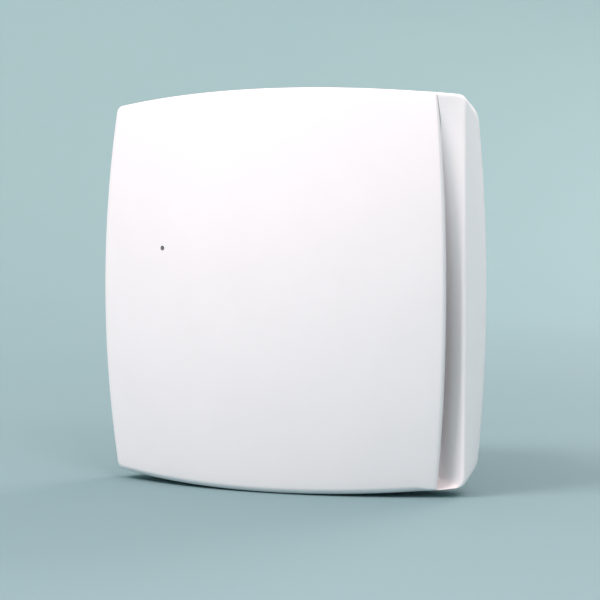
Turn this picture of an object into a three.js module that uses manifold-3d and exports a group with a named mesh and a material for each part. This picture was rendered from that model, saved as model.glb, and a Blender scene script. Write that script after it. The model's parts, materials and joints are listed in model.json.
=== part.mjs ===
// Bathroom extractor fan for a 100 mm duct, with a domed front panel and an air inlet down its right side.
// Millimetres, +Z up. The wall's face is the plane y = 0. The front faces -Y, the duct spigot goes along +Y,
// and the origin is where the duct's axis meets the wall. A "depth" is how far a point stands proud of the
// wall, so y = -depth, and a depth below zero lies inside the wall.
import * as THREE from 'three';
import { mergeVertices } from 'three/addons/utils/BufferGeometryUtils.js';
import Module from 'manifold-3d';

const wasm = await Module();
wasm.setup();

// ---- Driving dimensions -------------------------------------------------------------------------------
const HALF = 90;              // half of the casing's width and height at the middle of each side
const SIDE_BOW = 4.8;         // how far the left and right sides fall in towards their corners
const END_BOW = 4.75;         // the same for the top and bottom
const WALL_GAP = 2;           // shadow gap behind the cover's edge
// Radii of the left and right corners, as shares of the half width.
const BASE_CORNERS = [0.075, 0.12];
const RIM_CORNERS = [0.075, 0.045];
const PANEL_CORNERS = [0.03, 0.006];

const PANEL = { front: 46, tilt: 2, curveX: 22, curveZ: 7.4, skin: 2, fold: 2.8, lipFold: 1 };
const PANEL_EDGE = { x: 77.8, bow: 4.7, lip: 4.5, endLip: 1.6 };
const SEAM = { depth: 16.6, rise: 3.7, gap: 0.4 };

const RIM = { x: 84.9, bow: 0.9, depth: 22, fall: 0.4, flat: 1, round: 1.6 };
const SCOOP = { drop: 12, width: 13.5, ease: 0.12, from: 57, to: 70, deepest: -40 };
const SCOOP_END = { top: 86, topPower: 1.7, bottom: -85, bottomPower: 20 };
const COVER = { floor: 17, skin: 2, wall: 2.2, inlet: 50, split: 73.4, floorInset: 7 };
const LEDGE = { inset: 2.5, lip: 1.5, lipInset: 4.4, lipEnd: 7, step: 0.1 };
const GUARD = { hub: 12, rings: [24, 36], rib: 0.8, spokes: 6, rimInner: 2.4, rimOuter: 0.5 };

const DUCT = { bore: 47, outer: 49, end: 64, sides: 32 };
const BELL = { start: 4, depth: 14, radius: 52.4, lip: 1.6, shoulder: 1.2, shoulderDepth: 6, rootDepth: 1 };
const FLAP_STOP = { radius: 45.2, end: 56, thick: 1.4, slope: 0.6 };
const PLATE = { thick: 2.5, inset: 5 };
const POST = { wall: 5, box: 4, board: 3, cover: 4.5, low: 4, root: 0.5, panel: 2.5 };
const HOLE = { wall: 2.4, pilot: 1.5, pilotRear: 0.6, screw: 1.6, captive: 1.9, cable: 6.7, light: 2.2 };
const SOCKET = 3;             // radius of the holes in the cover that take the panel's posts
const SEAL = { outer: 52, front: 0.4, rear: 3.4 };
const GROMMET = { neck: 6.3, flange: 8.5, front: 4.2 };
const CABLE = { x: -68, z: -72, bore: 3.4 };
const CLAMP = { x: CABLE.x, z: -54, reach: 6.8, leg: 2.9, half: 2.5, under: 8.5, top: 10.5 };

const BOARD = { left: -77.5, right: -46, bottom: -47, top: 58, rear: 4.5, front: 6.1, arc: 55 };
const BOX = { left: -79.5, right: -44, half: 61, arc: 53.2, skin: 1.2, rear: 3, front: 14.4 };
const TAB = { half: 4, rear: 4.3, front: 5.8, end: 69 };
const TERMINALS = { poles: 4, pitch: 6, margin: 3, top: 6.6, bottom: -46, end: -37 };
const TERMINAL_SCREW = { z: -43.4, depth: 4.8 };
const WELL = { radius: 2.1, depth: 4 };
const ENTRY = { half: 1.9, rear: 1.2, front: 5, bottom: -39.5 };
const TRIMMER = { half: 4.5, height: 4.4 };
const KNOB = { radius: 3.1, height: 2.6, hole: 3.6 };
const ARROW = { front: 3, floor: 1.6, shaft: [-2.4, 1.6], half: 0.5, head: [1.2, 2.2], headHalf: 1.4 };
const LED = { x: -52.7, z: 19, side: 1.2 };
const LENS = { base: 1.5, tip: 0.8, shoulder: 3.2, slope: 0.2, sink: 0.6, pinhole: 1.1 };
const WIRE = { radius: 0.8, angle: 200, slot: 2.8 };
const NOTCH = { half: 4, front: 9, reach: 2 };
// Where the motor's lead passes a wall, as a depth range along the duct.
const LEAD_SLOTS = { boxWall: [-11, -2], bell: [-15, -3.5], cup: [39.5, 42.5], ring: [34, 43] };

const SHAFT = { radius: 2.5, bore: 2.8, front: -13.6, rear: 50, bevel: 0.4 };
const MOTOR = { front: 15.5, rear: 47.5, radius: 27, skin: 1.5, screws: 20 };
const CUP = { radius: 29.6, front: 32, rear: 53.3, disk: 2, hole: 9, air: 0.5, screwHole: 1.7 };
const BRACKET_RING = { outer: 0.5, inner: 2, front: 36, rear: 50, vane: 2 };
const BEARING = { seat: 7.2, outer: 6.9, wall: 8.6, hole: 4, front: [16.8, 21.8], rear: [44.8, 49.4] };
const CORE = { front: 25, rear: 39, bore: 17, rotor: 16.4, slots: 8, slotReach: 21, slotWidth: 2.6 };
const WINDING = { inner: 18, outer: 23.6, bevel: 0.9, front: [19, 24.7], rear: [39.3, 43.8] };
const IMPELLER = { radius: 44.4, hub: 22, front: -11, rear: 12, blades: 7, skin: 1.6, sleeve: 6, web: 3 };
const BLADE = { pitch: [52, 32], chord: [19, 27], camber: 2.4, root: 0.8, shift: 0.5 };
const CLIP = { front: 5, rear: 6.5, thick: 1.8 };
const FLAP = { radius: 46, front: 56.3, rear: 57.5, pivot: 59.3, barrel: 3, pin: 1.2, play: 0.35, edge: 3.4 };
const GAP = 0.3;              // air between pieces that touch

const SCREWS = {
  cover: { head: 3.4, height: 2, shank: 1.2, length: 9 },
  board: { head: 2.6, height: 1.8, shank: 1.2, length: 5 },
  clamp: { head: 2.6, height: 1.8, shank: 1.2, length: 9.5 },
  terminal: { head: 1.8, height: 1.4, shank: 1.1, length: 1.9 },
  wiring_cover: { head: 2.8, height: 1.9, shank: 1.2, length: 5 },
  motor: { head: 3, height: 1.8, shank: 1.3, length: 4.6 },
};

// ---- Places, as [x, z] in millimetres or as angles round the duct's axis in degrees -------------------
const COVER_SCREWS = [[0, 68], [0, -68]];
const PANEL_POSTS = [[-66, 68], [-66, -68], [54, 66], [54, -66]];
const WALL_HOLES = [[-30, 76], [30, 76], [-30, -76], [30, -76]];
const BOX_SCREWS = [[-64, 65], [-52, -65]];
const BOARD_SCREWS = [[-74, 54], [-50, -43]];
const BOARD_RESTS = [[-50, 54], [-74, -42]];
const CLAMP_SCREWS = [-1, 1].map((side) => [CLAMP.x + side * CLAMP.reach, CLAMP.z]);
const KNOBS = { timer: [-72.5, 29], humidity: [-72.5, 43] };
const VANE_ANGLES = [90, 210, 330];
const MOTOR_SCREW_ANGLES = [30, 150, 270];
const LEFT_KNUCKLES = [[-42, -26], [-8, 8], [26, 42]];
const RIGHT_KNUCKLES = [[-25.5, -8.5], [8.5, 25.5]];
// The motor's lead as [distance from the axis, y], from the board over the bell mouth and back to the motor.
const LEAD = [
  [58.5, -7.4], [56.5, -8.6], [53, -8.8], [49.4, -8], [46.4, -6], [45.8, -2], [45.8, 10], [45.8, 22],
  [45.8, 34], [44.6, 38.5], [41, 40.8], [36, 41], [32, 41], [27.4, 41],
];

// ---- Materials ----------------------------------------------------------------------------------------
function finish(color, roughness, metalness) {
  return new THREE.MeshStandardMaterial({ color, roughness, metalness });
}

const shell = finish(0xf3f4f4, 0.42, 0);
const innerPlastic = finish(0xe6e8e8, 0.5, 0);
const impellerPlastic = finish(0xd9dcdd, 0.45, 0);
const clearPlastic = finish(0xdfe6e4, 0.15, 0);
const boardLaminate = finish(0x2f6b45, 0.5, 0);
const darkPlastic = finish(0x2b2d2f, 0.55, 0);
const bluePlastic = finish(0x35608f, 0.5, 0);
const terminalPlastic = finish(0x8f9a9c, 0.5, 0);
const rubber = finish(0x3a3c3d, 0.9, 0);
const foam = finish(0x55585a, 1, 0);
const steel = finish(0xb9bcbf, 0.35, 1);
const zinc = finish(0xc9cccf, 0.3, 1);
const copper = finish(0xb3703c, 0.35, 1);
const laminations = finish(0x85888a, 0.45, 1);

// ---- Closed meshes ------------------------------------------------------------------------------------
// Drops triangles that have collapsed, and turns every face outwards.
function closedMesh(positions, triangles) {
  const corner = (i) => new THREE.Vector3().fromArray(positions, 3 * i);
  const kept = [];
  let volume = 0;
  for (let i = 0; i < triangles.length; i += 3) {
    const [a, b, c] = [triangles[i], triangles[i + 1], triangles[i + 2]];
    if (a === b || b === c || c === a) continue;
    kept.push([a, b, c]);
    volume += corner(a).dot(corner(b).cross(corner(c)));
  }
  const facing = volume < 0 ? kept.map(([a, b, c]) => [a, c, b]) : kept;
  const geometry = new THREE.BufferGeometry();
  geometry.setAttribute('position', new THREE.Float32BufferAttribute(positions, 3));
  geometry.setIndex(facing.flat());
  return geometry;
}

function closed(source) {
  const plain = source.clone();
  plain.deleteAttribute('normal');
  plain.deleteAttribute('uv');
  const merged = mergeVertices(plain, 1e-4);
  return closedMesh(Array.from(merged.attributes.position.array), Array.from(merged.index.array));
}

function solid(source) {
  const geometry = closed(source);
  const vertProperties = new Float32Array(geometry.attributes.position.array);
  const triVerts = new Uint32Array(geometry.index.array);
  return new wasm.Manifold(new wasm.Mesh({ numProp: 3, vertProperties, triVerts }));
}

function geometryOf(body) {
  const mesh = body.getMesh();
  return closedMesh(Array.from(mesh.vertProperties), Array.from(mesh.triVerts));
}

function shape(first, { plus = [], minus = [] }) {
  let body = solid(first);
  for (const piece of plus) body = body.add(solid(piece));
  for (const piece of minus) body = body.subtract(solid(piece));
  return geometryOf(body);
}

// ---- Simple solids, placed by where they lie ----------------------------------------------------------
function box([x0, x1], [d0, d1], [z0, z1]) {
  const geometry = new THREE.BoxGeometry(x1 - x0, d1 - d0, z1 - z0);
  return geometry.translate((x0 + x1) / 2, -(d0 + d1) / 2, (z0 + z1) / 2);
}

function disc(x, z, radius, d0, d1, sides = 20) {
  const geometry = new THREE.CylinderGeometry(radius, radius, d1 - d0, sides);
  return geometry.translate(x, -(d0 + d1) / 2, z);
}

function slab(outline, d0, d1, curveSegments = 8) {
  const geometry = new THREE.ExtrudeGeometry(outline, { depth: d1 - d0, bevelEnabled: false, curveSegments });
  return geometry.rotateX(Math.PI / 2).translate(0, -d0, 0);
}

// A body of revolution about the duct's axis, from [radius, y] points.
function turned(profile, sides = 32) {
  return new THREE.LatheGeometry(profile.map(([r, y]) => new THREE.Vector2(r, y)), sides);
}

function ring(inner, outer, y0, y1, sides = 32) {
  return turned([[inner, y0], [outer, y0], [outer, y1], [inner, y1], [inner, y0]], sides);
}

function spoke(angle, [r0, r1], [y0, y1], thickness) {
  const geometry = new THREE.BoxGeometry(r1 - r0, y1 - y0, thickness);
  return geometry.translate((r0 + r1) / 2, (y0 + y1) / 2, 0).rotateY(-THREE.MathUtils.degToRad(angle));
}

const polar = (radius, degrees) => {
  const angle = THREE.MathUtils.degToRad(degrees);
  return [radius * Math.cos(angle), radius * Math.sin(angle)];
};

// Skins a row of loops that have the same number of points. The row closes on itself, or with `capped`
// its first and last loops are closed by a fan to their middles.
function loft(loops, capped = false) {
  const count = loops[0].length;
  const positions = loops.flat().flatMap((p) => [p.x, p.y, p.z]);
  const triangles = [];
  const spans = capped ? loops.length - 1 : loops.length;
  for (let row = 0; row < spans; row += 1) {
    const here = row * count;
    const there = ((row + 1) % loops.length) * count;
    for (let i = 0; i < count; i += 1) {
      const next = (i + 1) % count;
      triangles.push(here + i, here + next, there + next, here + i, there + next, there + i);
    }
  }
  if (capped) {
    [0, loops.length - 1].forEach((row) => {
      const middle = loops[row].reduce((sum, p) => sum.add(p), new THREE.Vector3()).divideScalar(count);
      const hub = positions.length / 3;
      positions.push(middle.x, middle.y, middle.z);
      for (let i = 0; i < count; i += 1) {
        const edge = [row * count + i, row * count + ((i + 1) % count)];
        triangles.push(hub, ...(row === 0 ? edge.reverse() : edge));
      }
    });
  }
  return closedMesh(positions, triangles);
}

// ---- The casing's curved outlines ---------------------------------------------------------------------
const lerp = THREE.MathUtils.lerp;
const smooth = (x, from, to) => THREE.MathUtils.smoothstep(x, from, to);
const zAt = (v, x) => v * (HALF - END_BOW * (x / HALF) ** 2);

// A region maps a square of -1..1 by -1..1 onto the casing's front, with its own right-hand edge.
const region = (rightX, rightBow) => (u, v) => {
  const left = -(HALF - SIDE_BOW * v * v);
  const right = rightX - rightBow * v * v;
  const x = lerp(left, right, (u + 1) / 2);
  return [x, zAt(v, x)];
};
const baseRegion = region(HALF, SIDE_BOW);
const rimRegion = region(RIM.x, RIM.bow);
const panelRegion = region(PANEL_EDGE.x, PANEL_EDGE.bow);

const inset = (distance) => 1 - distance / (HALF - 2);

// The edge of the square, anticlockwise from its bottom right corner. Its corners are rounded.
function squareEdge([leftCorner, rightCorner], { ends, left, right, stops = [], cornerSteps = 3 }) {
  const points = [];
  const spread = (from, to, steps) => {
    return Array.from({ length: steps - 1 }, (_, i) => lerp(from, to, (i + 1) / steps));
  };
  const turn = (sideU, sideV, start) => {
    const corner = sideU < 0 ? leftCorner : rightCorner;
    for (let i = 0; i <= cornerSteps; i += 1) {
      const angle = THREE.MathUtils.degToRad(start + (90 * i) / cornerSteps);
      const u = sideU * (1 - corner) + corner * Math.cos(angle);
      const v = sideV * (1 - corner) + corner * Math.sin(angle);
      points.push([u, v]);
    }
  };
  const endStops = [...spread(leftCorner - 1, 1 - rightCorner, ends), ...stops].sort((a, b) => a - b);
  turn(1, -1, -90);
  spread(rightCorner - 1, 1 - rightCorner, right).forEach((v) => points.push([1, v]));
  turn(1, 1, 0);
  [...endStops].reverse().forEach((u) => points.push([u, 1]));
  turn(-1, 1, 90);
  spread(1 - leftCorner, leftCorner - 1, left).forEach((v) => points.push([-1, v]));
  turn(-1, -1, 180);
  endStops.forEach((u) => points.push([u, -1]));
  return points;
}

const loopOf = (edge, place, distance, depth) => edge.map(([u, v]) => {
  const scale = inset(distance);
  const [x, z] = place(u * scale, v * scale);
  return new THREE.Vector3(x, -depth(x, z, u, v), z);
});

// ---- Front surfaces, as depths ------------------------------------------------------------------------
function panelDepth(x, z) {
  const across = x / HALF;
  const up = z / HALF;
  return PANEL.front + PANEL.tilt * across - PANEL.curveX * across ** 2 - PANEL.curveZ * up ** 2;
}

const seamDepth = (x) => SEAM.depth + SEAM.rise * (x / HALF);
const rimDepth = (z) => RIM.depth - RIM.fall * (z / HALF) ** 2;

// How far the scoop is cut below the strip. It fades out slowly at the top and all at once at the bottom.
function scoopDrop(z) {
  const { deepest } = SCOOP;
  const { top, topPower, bottom, bottomPower } = SCOOP_END;
  const share = z > deepest
    ? ((z - deepest) / (top - deepest)) ** topPower
    : ((z - deepest) / (bottom - deepest)) ** bottomPower;
  return SCOOP.drop * Math.max(0, 1 - share);
}

// A straight climb from 0 to 1 with both of its ends eased.
function ramp(share) {
  const { ease } = SCOOP;
  const t = THREE.MathUtils.clamp(share, 0, 1);
  const steep = 1 / (1 - ease);
  if (t < ease) return (steep * t ** 2) / (2 * ease);
  if (t > 1 - ease) return 1 - (steep * (1 - t) ** 2) / (2 * ease);
  return steep * (t - ease / 2);
}

function coverDepth(x, z) {
  const rimX = RIM.x - RIM.bow * (z / HALF) ** 2;
  const level = rimDepth(z) + panelDepth(x, z) - panelDepth(rimX, z);
  const scooped = level - scoopDrop(z) * ramp((rimX - RIM.flat - x) / SCOOP.width);
  return lerp(COVER.floor, scooped, smooth(x, SCOOP.from, SCOOP.to));
}

// ---- The group ----------------------------------------------------------------------------------------
const fan = new THREE.Group();

function piece(name, geometry, material, [x, y, z] = [0, 0, 0]) {
  const mesh = new THREE.Mesh(closed(geometry), material);
  mesh.name = name;
  mesh.position.set(x, y, z);
  fan.add(mesh);
}

// A slotted screw. Its head faces -Y and the head's underside is at y = 0.
function screw({ head, height, shank, length }) {
  const profile = [
    [0, -height], [head * 0.7, -height], [head, -height * 0.5], [head, 0],
    [shank, 0], [shank, length - shank], [0, length],
  ];
  const blade = head * 0.16;
  const slot = box([-head - 1, head + 1], [height * 0.55, height * 1.5], [-blade, blade]);
  return shape(turned(profile, 10), { minus: [slot] });
}

// Screws with their heads on a face at the given depth.
function screws(use, spots, depth) {
  spots.forEach(([x, z], i) => {
    piece(`${use}_screw_${i + 1}`, screw(SCREWS[use]), zinc, [x, -depth - GAP, z]);
  });
}

// ---- Base housing: back plate with its posts, and the duct tube with its bell mouth -------------------
function plateOutline() {
  const edge = squareEdge(BASE_CORNERS, { ends: 8, left: 6, right: 6 });
  const scale = inset(PLATE.inset);
  const points = edge.map(([u, v]) => baseRegion(u * scale, v * scale));
  return new THREE.Shape(points.map(([x, z]) => new THREE.Vector2(x, z)));
}

function ductTube() {
  const steps = 3;
  const flare = BELL.radius - BELL.lip - DUCT.bore;
  const bell = Array.from({ length: steps + 1 }, (_, i) => {
    const angle = (Math.PI / 2) * (i / steps);
    const depth = BELL.start + (BELL.depth - BELL.start) * Math.sin(angle);
    return [DUCT.bore + flare * (1 - Math.cos(angle)), -depth];
  });
  const stopFront = FLAP_STOP.end - FLAP_STOP.thick;
  const profile = [
    ...bell, [BELL.radius, -BELL.depth], [DUCT.outer + BELL.shoulder, -BELL.shoulderDepth],
    [DUCT.outer, -BELL.rootDepth], [DUCT.outer, DUCT.end], [DUCT.bore, DUCT.end],
    [DUCT.bore, FLAP_STOP.end], [FLAP_STOP.radius, FLAP_STOP.end], [FLAP_STOP.radius, stopFront],
    [DUCT.bore, stopFront - FLAP_STOP.slope], [...bell[0]],
  ];
  return turned(profile, DUCT.sides);
}

const wireSlot = (r0, r1, ys) => spoke(WIRE.angle, [r0, r1], ys, WIRE.slot);

function backPlate() {
  const { thick } = PLATE;
  const post = (radius, top) => ([x, z]) => disc(x, z, radius, thick - POST.root, top, 10);
  const pilot = (top) => ([x, z]) => disc(x, z, HOLE.pilot, HOLE.pilotRear, top, 8);
  const coverPost = COVER.floor - COVER.skin - 0.4;
  return shape(slab(plateOutline(), 0, thick), {
    plus: [
      ...WALL_HOLES.map(post(POST.wall, POST.low)),
      ...BOX_SCREWS.map(post(POST.box, POST.low)),
      ...[...BOARD_SCREWS, ...BOARD_RESTS].map(post(POST.board, BOARD.rear - GAP)),
      ...COVER_SCREWS.map(post(POST.cover, coverPost)),
    ],
    minus: [
      disc(0, 0, DUCT.bore + 1, -1, thick + 1, DUCT.sides),
      disc(CABLE.x, CABLE.z, HOLE.cable, -1, thick + 1, 14),
      ...WALL_HOLES.map(([x, z]) => disc(x, z, HOLE.wall, -1, POST.low + 1, 10)),
      ...[...BOX_SCREWS, ...BOARD_SCREWS, ...CLAMP_SCREWS].map(pilot(BOARD.rear + 1)),
      ...COVER_SCREWS.map(pilot(coverPost + 1)),
    ],
  });
}

function baseHousing() {
  const holeRadius = FLAP.pin + 0.4;
  const pinHoles = new THREE.CylinderGeometry(holeRadius, holeRadius, 2 * DUCT.outer + 4, 12);
  pinHoles.rotateX(Math.PI / 2).translate(0, FLAP.pivot, 0);
  const leadNotch = wireSlot(DUCT.bore - 3, BELL.radius + 2, LEAD_SLOTS.bell);
  return shape(backPlate(), { plus: [ductTube()], minus: [pinHoles, leadNotch] });
}

// A rubber ring with a groove that grips the edge of the back plate's hole.
function cableGrommet() {
  const { neck, flange, front } = GROMMET;
  const seat = PLATE.thick + GAP;
  return turned([
    [CABLE.bore, -front], [flange, -front], [flange, -seat], [neck, -seat], [neck, -GAP], [CABLE.bore, -GAP],
    [CABLE.bore, -front],
  ], 14);
}

piece('base_housing', baseHousing(), innerPlastic);
piece('wall_seal', ring(DUCT.outer + GAP, SEAL.outer, SEAL.front, SEAL.rear, DUCT.sides), foam);
piece('cable_grommet', cableGrommet(), rubber, [CABLE.x, 0, CABLE.z]);

// ---- Electrics under the wiring cover -----------------------------------------------------------------
// A plate around the duct: straight on three sides, with a hollow arc about the duct's axis on the fourth.
function arcOutline({ left, right, bottom, top, arc }) {
  const reach = Math.sqrt(arc ** 2 - right ** 2);
  const start = Math.atan2(-reach, right);
  const outline = new THREE.Shape();
  outline.moveTo(left, bottom);
  outline.lineTo(right, bottom);
  outline.lineTo(right, -reach);
  outline.absarc(0, 0, arc, start, -start, true);
  outline.lineTo(right, top);
  outline.lineTo(left, top);
  return outline;
}

function controlBoard() {
  const screwHole = ([x, z]) => disc(x, z, HOLE.screw, BOARD.rear - 1, BOARD.front + 1, 8);
  return shape(slab(arcOutline(BOARD), BOARD.rear, BOARD.front), { minus: BOARD_SCREWS.map(screwHole) });
}

function wiringCover() {
  const { left, right, half, arc, skin, rear, front } = BOX;
  const outer = arcOutline({ left, right, bottom: -half, top: half, arc });
  const inner = arcOutline({
    left: left + skin, right: right - skin, bottom: skin - half, top: half - skin, arc: arc + skin,
  });
  const tray = shape(slab(outer, rear, front), { minus: [slab(inner, rear - 1, front - skin)] });
  const tab = ([x, z]) => {
    const side = Math.sign(z);
    const reach = [side * (half - 1), side * TAB.end].sort((a, b) => a - b);
    return box([x - TAB.half, x + TAB.half], [TAB.rear, TAB.front], reach);
  };
  const roofHole = (radius, sides) => ([x, z]) => disc(x, z, radius, front - 3, front + 1, sides);
  const notchWidth = [CABLE.x - NOTCH.half, CABLE.x + NOTCH.half];
  return shape(tray, {
    plus: BOX_SCREWS.map(tab),
    minus: [
      ...BOX_SCREWS.map(([x, z]) => disc(x, z, HOLE.screw, rear, TAB.front + 1, 8)),
      ...Object.values(KNOBS).map(roofHole(KNOB.hole, 14)),
      roofHole(HOLE.light, 10)([LED.x, LED.z]),
      box(notchWidth, [rear - 1, NOTCH.front], [-half - 1, NOTCH.reach - half]),
      wireSlot(arc - 2, arc + 3, LEAD_SLOTS.boxWall),
    ],
  });
}

const poleXs = Array.from({ length: TERMINALS.poles }, (_, i) => {
  return BOARD.left + TERMINALS.margin + TERMINALS.pitch * i;
});

function terminalBlock() {
  const { bottom, end, poles, pitch } = TERMINALS;
  const top = BOARD.front + TERMINALS.top;
  const body = box([BOARD.left, BOARD.left + poles * pitch], [BOARD.front + GAP, top], [bottom, end]);
  const entryDepths = [BOARD.front + ENTRY.rear, BOARD.front + ENTRY.front];
  return shape(body, {
    minus: [
      ...poleXs.map((x) => disc(x, TERMINAL_SCREW.z, WELL.radius, top - WELL.depth, top + 1, 10)),
      ...poleXs.map((x) => box([x - ENTRY.half, x + ENTRY.half], entryDepths, [ENTRY.bottom, end + 1])),
    ],
  });
}

// A bridge over the supply cable, on two legs that stand on the back plate.
function cableClamp() {
  const ends = CLAMP.reach + CLAMP.leg;
  const along = [CLAMP.z - CLAMP.half, CLAMP.z + CLAMP.half];
  const leg = ([x]) => box([x - CLAMP.leg, x + CLAMP.leg], [PLATE.thick + GAP, CLAMP.top - 1], along);
  return shape(box([CLAMP.x - ends, CLAMP.x + ends], [CLAMP.under, CLAMP.top], along), {
    plus: CLAMP_SCREWS.map(leg),
    minus: CLAMP_SCREWS.map(([x, z]) => disc(x, z, HOLE.screw, 1, CLAMP.top + 1, 8)),
  });
}

piece('control_board', controlBoard(), boardLaminate);
piece('terminal_block', terminalBlock(), terminalPlastic);
piece('cable_clamp', cableClamp(), innerPlastic);
piece('wiring_cover', wiringCover(), innerPlastic);
screws('board', BOARD_SCREWS, BOARD.front);
screws('terminal', poleXs.map((x) => [x, TERMINAL_SCREW.z]), BOARD.front + TERMINAL_SCREW.depth - GAP);
screws('clamp', CLAMP_SCREWS, CLAMP.top);
screws('wiring_cover', BOX_SCREWS, TAB.front);

const onBoard = (height) => [BOARD.front + GAP, BOARD.front + GAP + height];
piece('relay', box([-76, -60], onBoard(6.4), [-28, -16]), darkPlastic);
piece('dropper_capacitor', box([-76.5, -59], onBoard(6.2), [-8, 0]), bluePlastic);
piece('control_chip', box([-74, -64], onBoard(1.6), [8, 16]), darkPlastic);
piece('humidity_sensor', box([-60, -54], onBoard(3), [48, 54]), clearPlastic);
piece('status_led', turned([[0, -9.6], [1, -9.2], [1.4, -8.4], [1.4, -6.4], [0, -6.4]], 12), clearPlastic,
  [LED.x - LED.side, 0, LED.z]);

function knob() {
  const depths = [ARROW.floor, ARROW.front];
  const arrow = [
    box(ARROW.shaft, depths, [-ARROW.half, ARROW.half]),
    box(ARROW.head, depths, [-ARROW.headHalf, ARROW.headHalf]),
  ];
  return shape(disc(0, 0, KNOB.radius, 0, KNOB.height, 14), { minus: arrow });
}

Object.entries(KNOBS).forEach(([use, [x, z]]) => {
  const { half, height } = TRIMMER;
  piece(`${use}_trimmer`, box([x - half, x + half], onBoard(height), [z - half, z + half]), bluePlastic);
  piece(`${use}_knob`, knob(), innerPlastic, [x, -BOARD.front - GAP - height - GAP, z]);
});

function motorLead() {
  const curve = new THREE.CatmullRomCurve3(LEAD.map(([r, y]) => {
    const [x, z] = polar(r, WIRE.angle);
    return new THREE.Vector3(x, y, z);
  }));
  const section = new THREE.Shape().absarc(0, 0, WIRE.radius, 0, 2 * Math.PI);
  return new THREE.ExtrudeGeometry(section, { steps: 24, curveSegments: 3, extrudePath: curve });
}
piece('motor_lead', motorLead(), darkPlastic);

// ---- Motor bracket: a cup on three vanes, in a ring that is pressed into the duct tube ----------------
function motorBracket() {
  const { radius: cup, front, rear, hole } = CUP;
  const inner = MOTOR.radius + CUP.air;
  const disk = rear - CUP.disk;
  const seat = turned([
    [inner, front], [cup, front], [cup, rear], [hole, rear], [hole, disk], [inner, disk], [inner, front],
  ], 24);
  const { bore } = DUCT;
  const outerRing = ring(bore - BRACKET_RING.inner, bore - BRACKET_RING.outer, BRACKET_RING.front,
    BRACKET_RING.rear, DUCT.sides);
  const vane = (angle) => spoke(angle, [cup - 1, bore - 1.2], [front + 1, rear - 1], BRACKET_RING.vane);
  const screwHole = (angle) => disc(...polar(MOTOR.screws, angle), CUP.screwHole, -rear - 1, 3 - rear, 8);
  return shape(seat, {
    plus: [outerRing, ...VANE_ANGLES.map(vane)],
    minus: [
      ...MOTOR_SCREW_ANGLES.map(screwHole),
      wireSlot(MOTOR.radius - 1, cup + 2, LEAD_SLOTS.cup),
      wireSlot(bore - 4, bore + 1, LEAD_SLOTS.ring),
    ],
  });
}
piece('motor_bracket', motorBracket(), innerPlastic);

// ---- Motor --------------------------------------------------------------------------------------------
function motorCan() {
  const { front, rear, radius, skin } = MOTOR;
  const { seat, wall, hole } = BEARING;
  const sleeveEnd = front + 6.5;
  return turned([
    [hole, front], [radius - 1, front], [radius, front + 1], [radius, rear], [radius - skin, rear],
    [radius - skin, front + skin], [wall, front + skin], [wall, sleeveEnd], [seat, sleeveEnd],
    [seat, front + 1], [hole, front + 1], [hole, front],
  ], 28);
}

function motorEndCap() {
  const { rear, radius } = MOTOR;
  const { seat, wall, hole } = BEARING;
  const front = rear + GAP;
  const back = CUP.rear - CUP.disk - GAP;
  const sleeveEnd = front - 3.2;
  const profile = [
    [hole, back - 1], [seat, back - 1], [seat, sleeveEnd], [wall, sleeveEnd], [wall, front], [radius, front],
    [radius, back], [hole, back], [hole, back - 1],
  ];
  const screwHole = (angle) => disc(...polar(MOTOR.screws, angle), CUP.screwHole, -back - 1, 1 - front, 8);
  return shape(turned(profile, 24), { minus: MOTOR_SCREW_ANGLES.map(screwHole) });
}

function statorCore() {
  const { front, rear, bore, slots, slotReach, slotWidth } = CORE;
  const body = ring(bore, MOTOR.radius - MOTOR.skin - GAP, front, rear, 28);
  const slot = (_, i) => spoke((360 * i) / slots, [bore - 2, slotReach], [front - 1, rear + 1], slotWidth);
  return shape(body, { minus: Array.from({ length: slots }, slot) });
}

function winding([y0, y1]) {
  const { inner, outer, bevel } = WINDING;
  const middle = (y0 + y1) / 2;
  return turned([
    [inner, middle], [inner + bevel, y0], [outer - bevel, y0], [outer, middle], [outer - bevel, y1],
    [inner + bevel, y1], [inner, middle],
  ], 20);
}

const bearing = ([y0, y1]) => ring(SHAFT.bore, BEARING.outer, y0, y1, 16);

piece('motor_can', motorCan(), steel);
piece('motor_end_cap', motorEndCap(), steel);
piece('stator_core', statorCore(), laminations);
piece('front_winding', winding(WINDING.front), copper);
piece('rear_winding', winding(WINDING.rear), copper);
piece('front_bearing', bearing(BEARING.front), steel);
piece('rear_bearing', bearing(BEARING.rear), steel);
MOTOR_SCREW_ANGLES.forEach((angle, i) => {
  const [x, z] = polar(MOTOR.screws, angle);
  piece(`motor_screw_${i + 1}`, screw(SCREWS.motor).rotateZ(Math.PI), zinc, [x, CUP.rear + GAP, z]);
});

// ---- Turning parts: shaft, rotor, impeller and its push-on clip ---------------------------------------
function motorShaft() {
  const { radius, front, rear, bevel } = SHAFT;
  return turned([
    [0, front], [radius - bevel, front], [radius, front + bevel], [radius, rear - bevel],
    [radius - bevel, rear], [0, rear],
  ], 20);
}

function impellerHub() {
  const { hub, front, rear, skin, sleeve, web } = IMPELLER;
  const inner = hub - skin;
  return turned([
    [SHAFT.bore, front + 0.6], [hub - 6, front], [hub - 2, front + 1], [hub, front + 4], [hub, rear],
    [inner, rear], [inner, front + 5], [hub - 4, front + web], [sleeve, front + web], [sleeve, rear - 1],
    [SHAFT.bore, rear - 1], [SHAFT.bore, front + 0.6],
  ], 24);
}

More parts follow.
